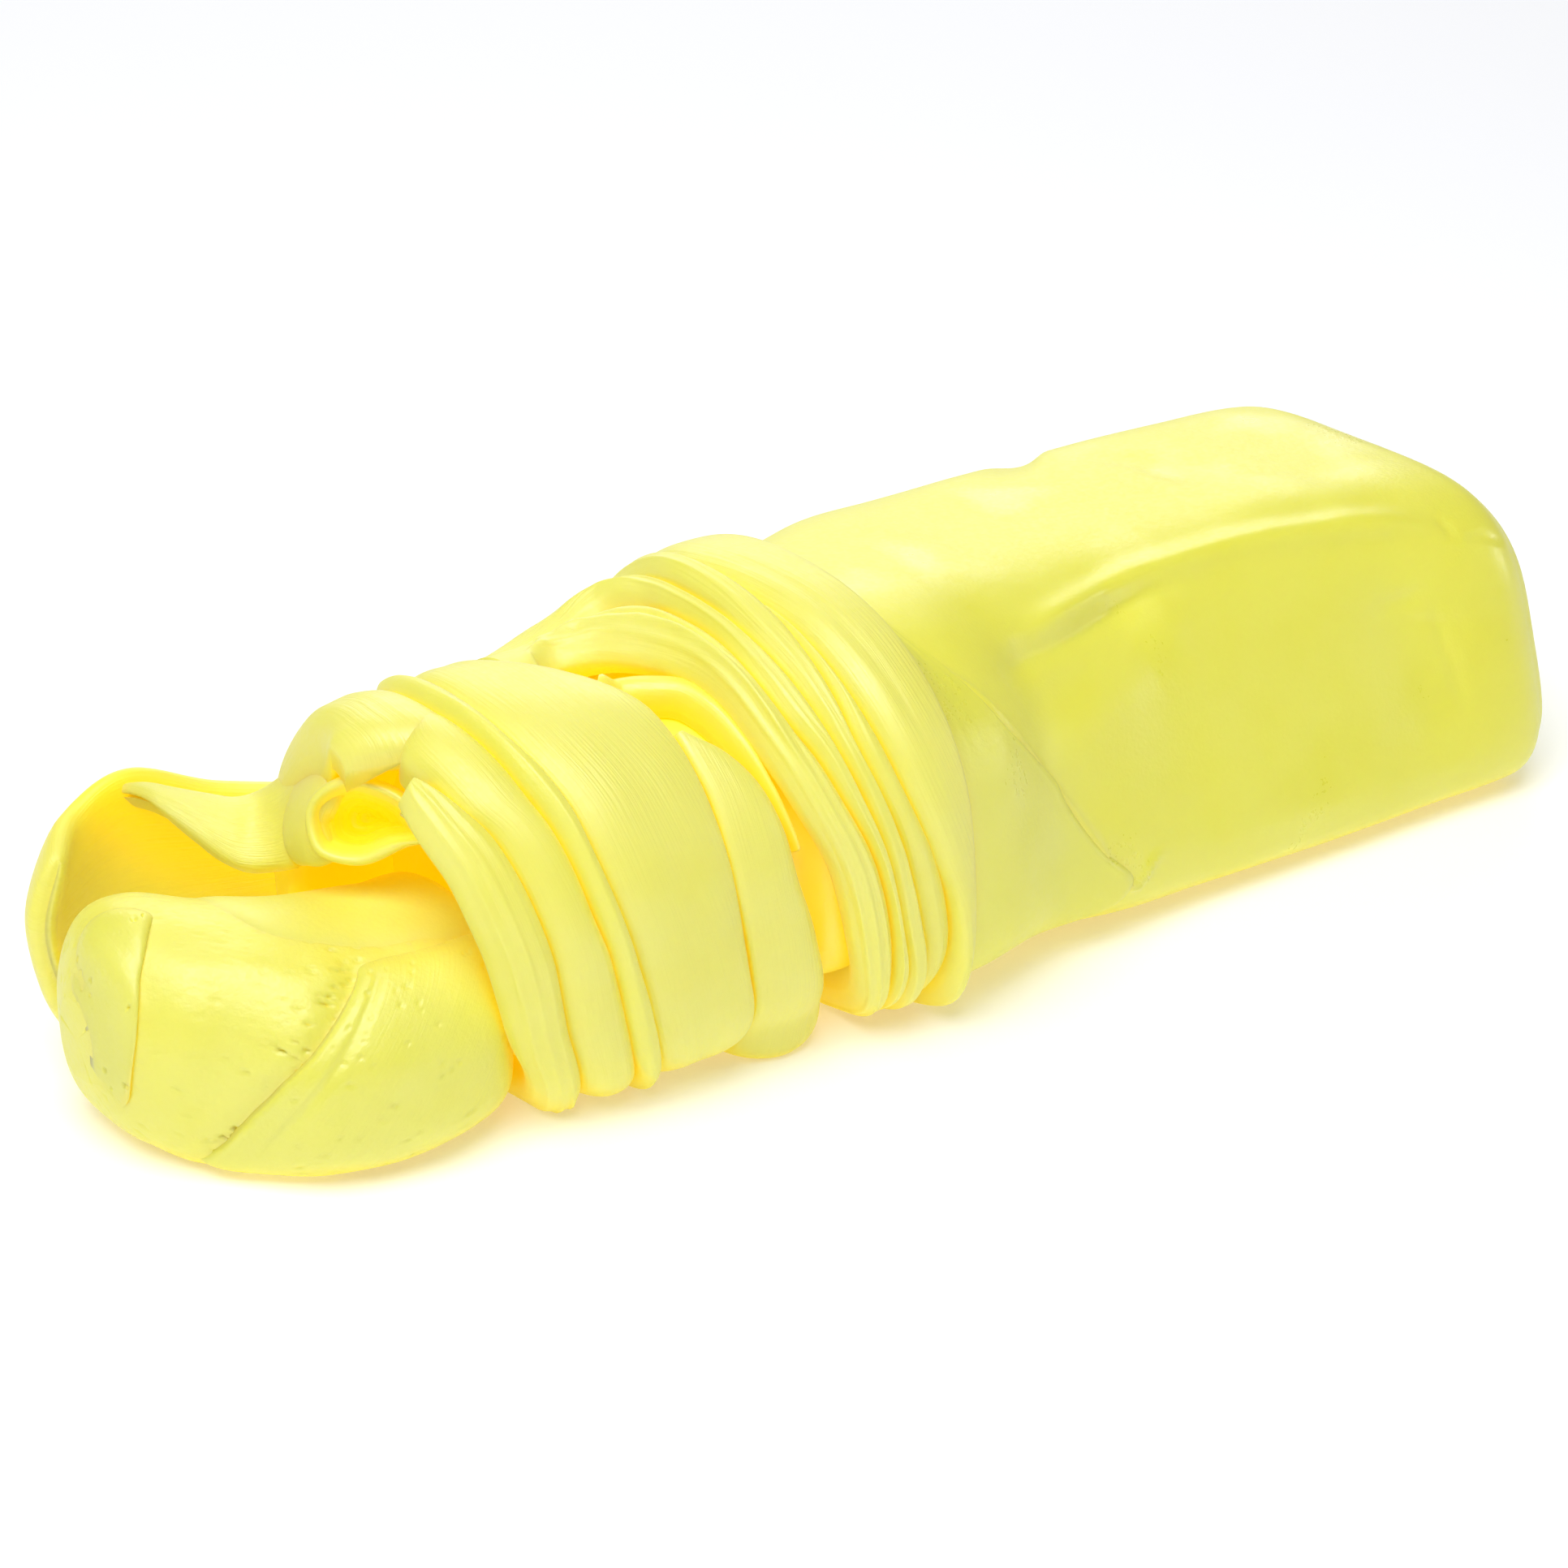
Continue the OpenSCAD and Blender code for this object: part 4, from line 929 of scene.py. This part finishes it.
# rows, thickness, pits, unevenness
SKINS = {
    "valley_web": (
        [[-41.0, 100, -41.4, 62], [-39.5, 104, -39.5, 58], [-37.5, 108, -37.5, 54],
         [-35.5, 111, -35.5, 52], [-33, 114, -33, 52], [-30.5, 116, -30.5, 52],
         [-28.4, 114, -28.4, 54], [-27.2, 108, -27.2, 58]], 0.3, 0.0, 0.2),
    "lapped_fold": (
        [[-36.0, 117, -28.4, 116], [-36.8, 128, -28.2, 128], [-38.2, 141, -28.0, 144],
         [-39.8, 155, -28.0, 158], [-41.3, 168, -28.0, 172], [-43.0, 183, -28.2, 186],
         [-44.6, 196, -28.4, 200], [-45.5, 213, -28.8, 214],
         [-46.2, 228, -29.4, 230]], 0.8, 0.3, 0.6),
    "tip_cap": (
        [[-48.8, 66, -44.4, 90], [-49.4, 78, -45.4, 100], [-49.6, 92, -46.5, 112],
         [-49.65, 108, -47.7, 128], [-49.7, 126, -48.5, 146], [-49.7, 146, -48.9, 164],
         [-49.7, 166, -49.1, 180], [-49.7, 184, -49.2, 194],
         [-49.7, 200, -49.3, 206]], 0.65, 0.8, 0.6),
}
EDGE_ROLL = [[-35.2, 119], [-36.1, 130], [-37.4, 142], [-38.9, 156], [-40.3, 169], [-41.9, 183],
             [-43.4, 196], [-44.4, 213]]

for i, (node, (rows, thick, pits, uneven)) in enumerate(SKINS.items()):
    web = node == "valley_web"
    slot = "clay_drawn" if web else "clay_torn"
    rolls = [(EDGE_ROLL, 0.3, 0.22)] if node == "lapped_fold" else ()
    skin = fold(thick, thick * (1.8 if web else 0.8), thick * 0.8, 0.0, 1.6 if web else 5.0, 5.0)
    rings, marks = strip(LOBE, rows, -0.4, emerging(skin, 1.2 * thick, 0.09), columns=90, per=16,
                         widen=0.02 if web else 0.12, lines=rolls)
    marks["pitted"] = 1.0
    piece(node, slot, rings, PLACE, marks, unevenness=uneven, unevenness_size=6.0,
          pit_depth=pits * 0.4, pit_spacing=0.8, pit_cover=0.5, seed=70 + i)

# ---- the studio ------------------------------------------------------------------------
# A sheet of white paper under the clay, a wide soft light overhead, another behind it and a small
# one in front, and a camera that looks down on the bar from its twisted end.
FLOOR = 3   # half of its width in metres
floor_mesh = bpy.data.meshes.new("floor")
floor_mesh.from_pydata([(-FLOOR, -FLOOR, 0), (FLOOR, -FLOOR, 0), (FLOOR, FLOOR, 0),
                        (-FLOOR, FLOOR, 0)], [],
                       [(0, 1, 2, 3)])
floor = bpy.data.objects.new("floor", floor_mesh)
bpy.context.scene.collection.objects.link(floor)
paper = bpy.data.materials.new("paper")
paper.use_nodes = True
for name, value in (("Base Color", (0.91, 0.92, 0.95, 1)), ("Roughness", 0.9),
                    ("Emission Color", (1, 1, 1, 1)), ("Emission Strength", 0.20)):
    paper.node_tree.nodes["Principled BSDF"].inputs[name].default_value = value
floor_mesh.materials.append(paper)

world = bpy.data.worlds.new("studio")
bpy.context.scene.world = world
world.use_nodes = True
world.node_tree.nodes["Background"].inputs[0].default_value = (1, 1, 1, 1)
world.node_tree.nodes["Background"].inputs[1].default_value = 0.15

TARGET = Vector((-0.0039, 0.0006, 0.0100))
AZIMUTH, ELEVATION, DISTANCE = math.radians(-37), math.radians(26), 0.2401
BACK = Vector((math.sin(AZIMUTH) * math.cos(ELEVATION), -math.cos(AZIMUTH) * math.cos(ELEVATION),
               math.sin(ELEVATION)))


def softbox(name, spot, size, power):
    lamp = bpy.data.lights.new(name, "AREA")
    lamp.shape, lamp.size, lamp.energy = "SQUARE", size, power
    obj = bpy.data.objects.new(name, lamp)
    bpy.context.scene.collection.objects.link(obj)
    obj.location = spot
    obj.rotation_euler = (Vector(spot) - TARGET).to_track_quat("Z", "Y").to_euler()


softbox("overhead", (-0.20, -0.12, 0.50), 0.44, 2.8)
softbox("behind", (0.40, 0.62, 0.40), 0.60, 2.5)
softbox("front_right", (0.62, -0.30, 0.16), 0.16, 0.3)

camera_data = bpy.data.cameras.new("camera")
camera_data.lens, camera_data.sensor_width = 85.0, 36.0
camera = bpy.data.objects.new("camera", camera_data)
bpy.context.scene.collection.objects.link(camera)
camera.location = TARGET + BACK * DISTANCE
camera.rotation_euler = BACK.to_track_quat("Z", "Y").to_euler()
bpy.context.scene.camera = camera
bpy.context.scene.view_settings.view_transform = "Standard"
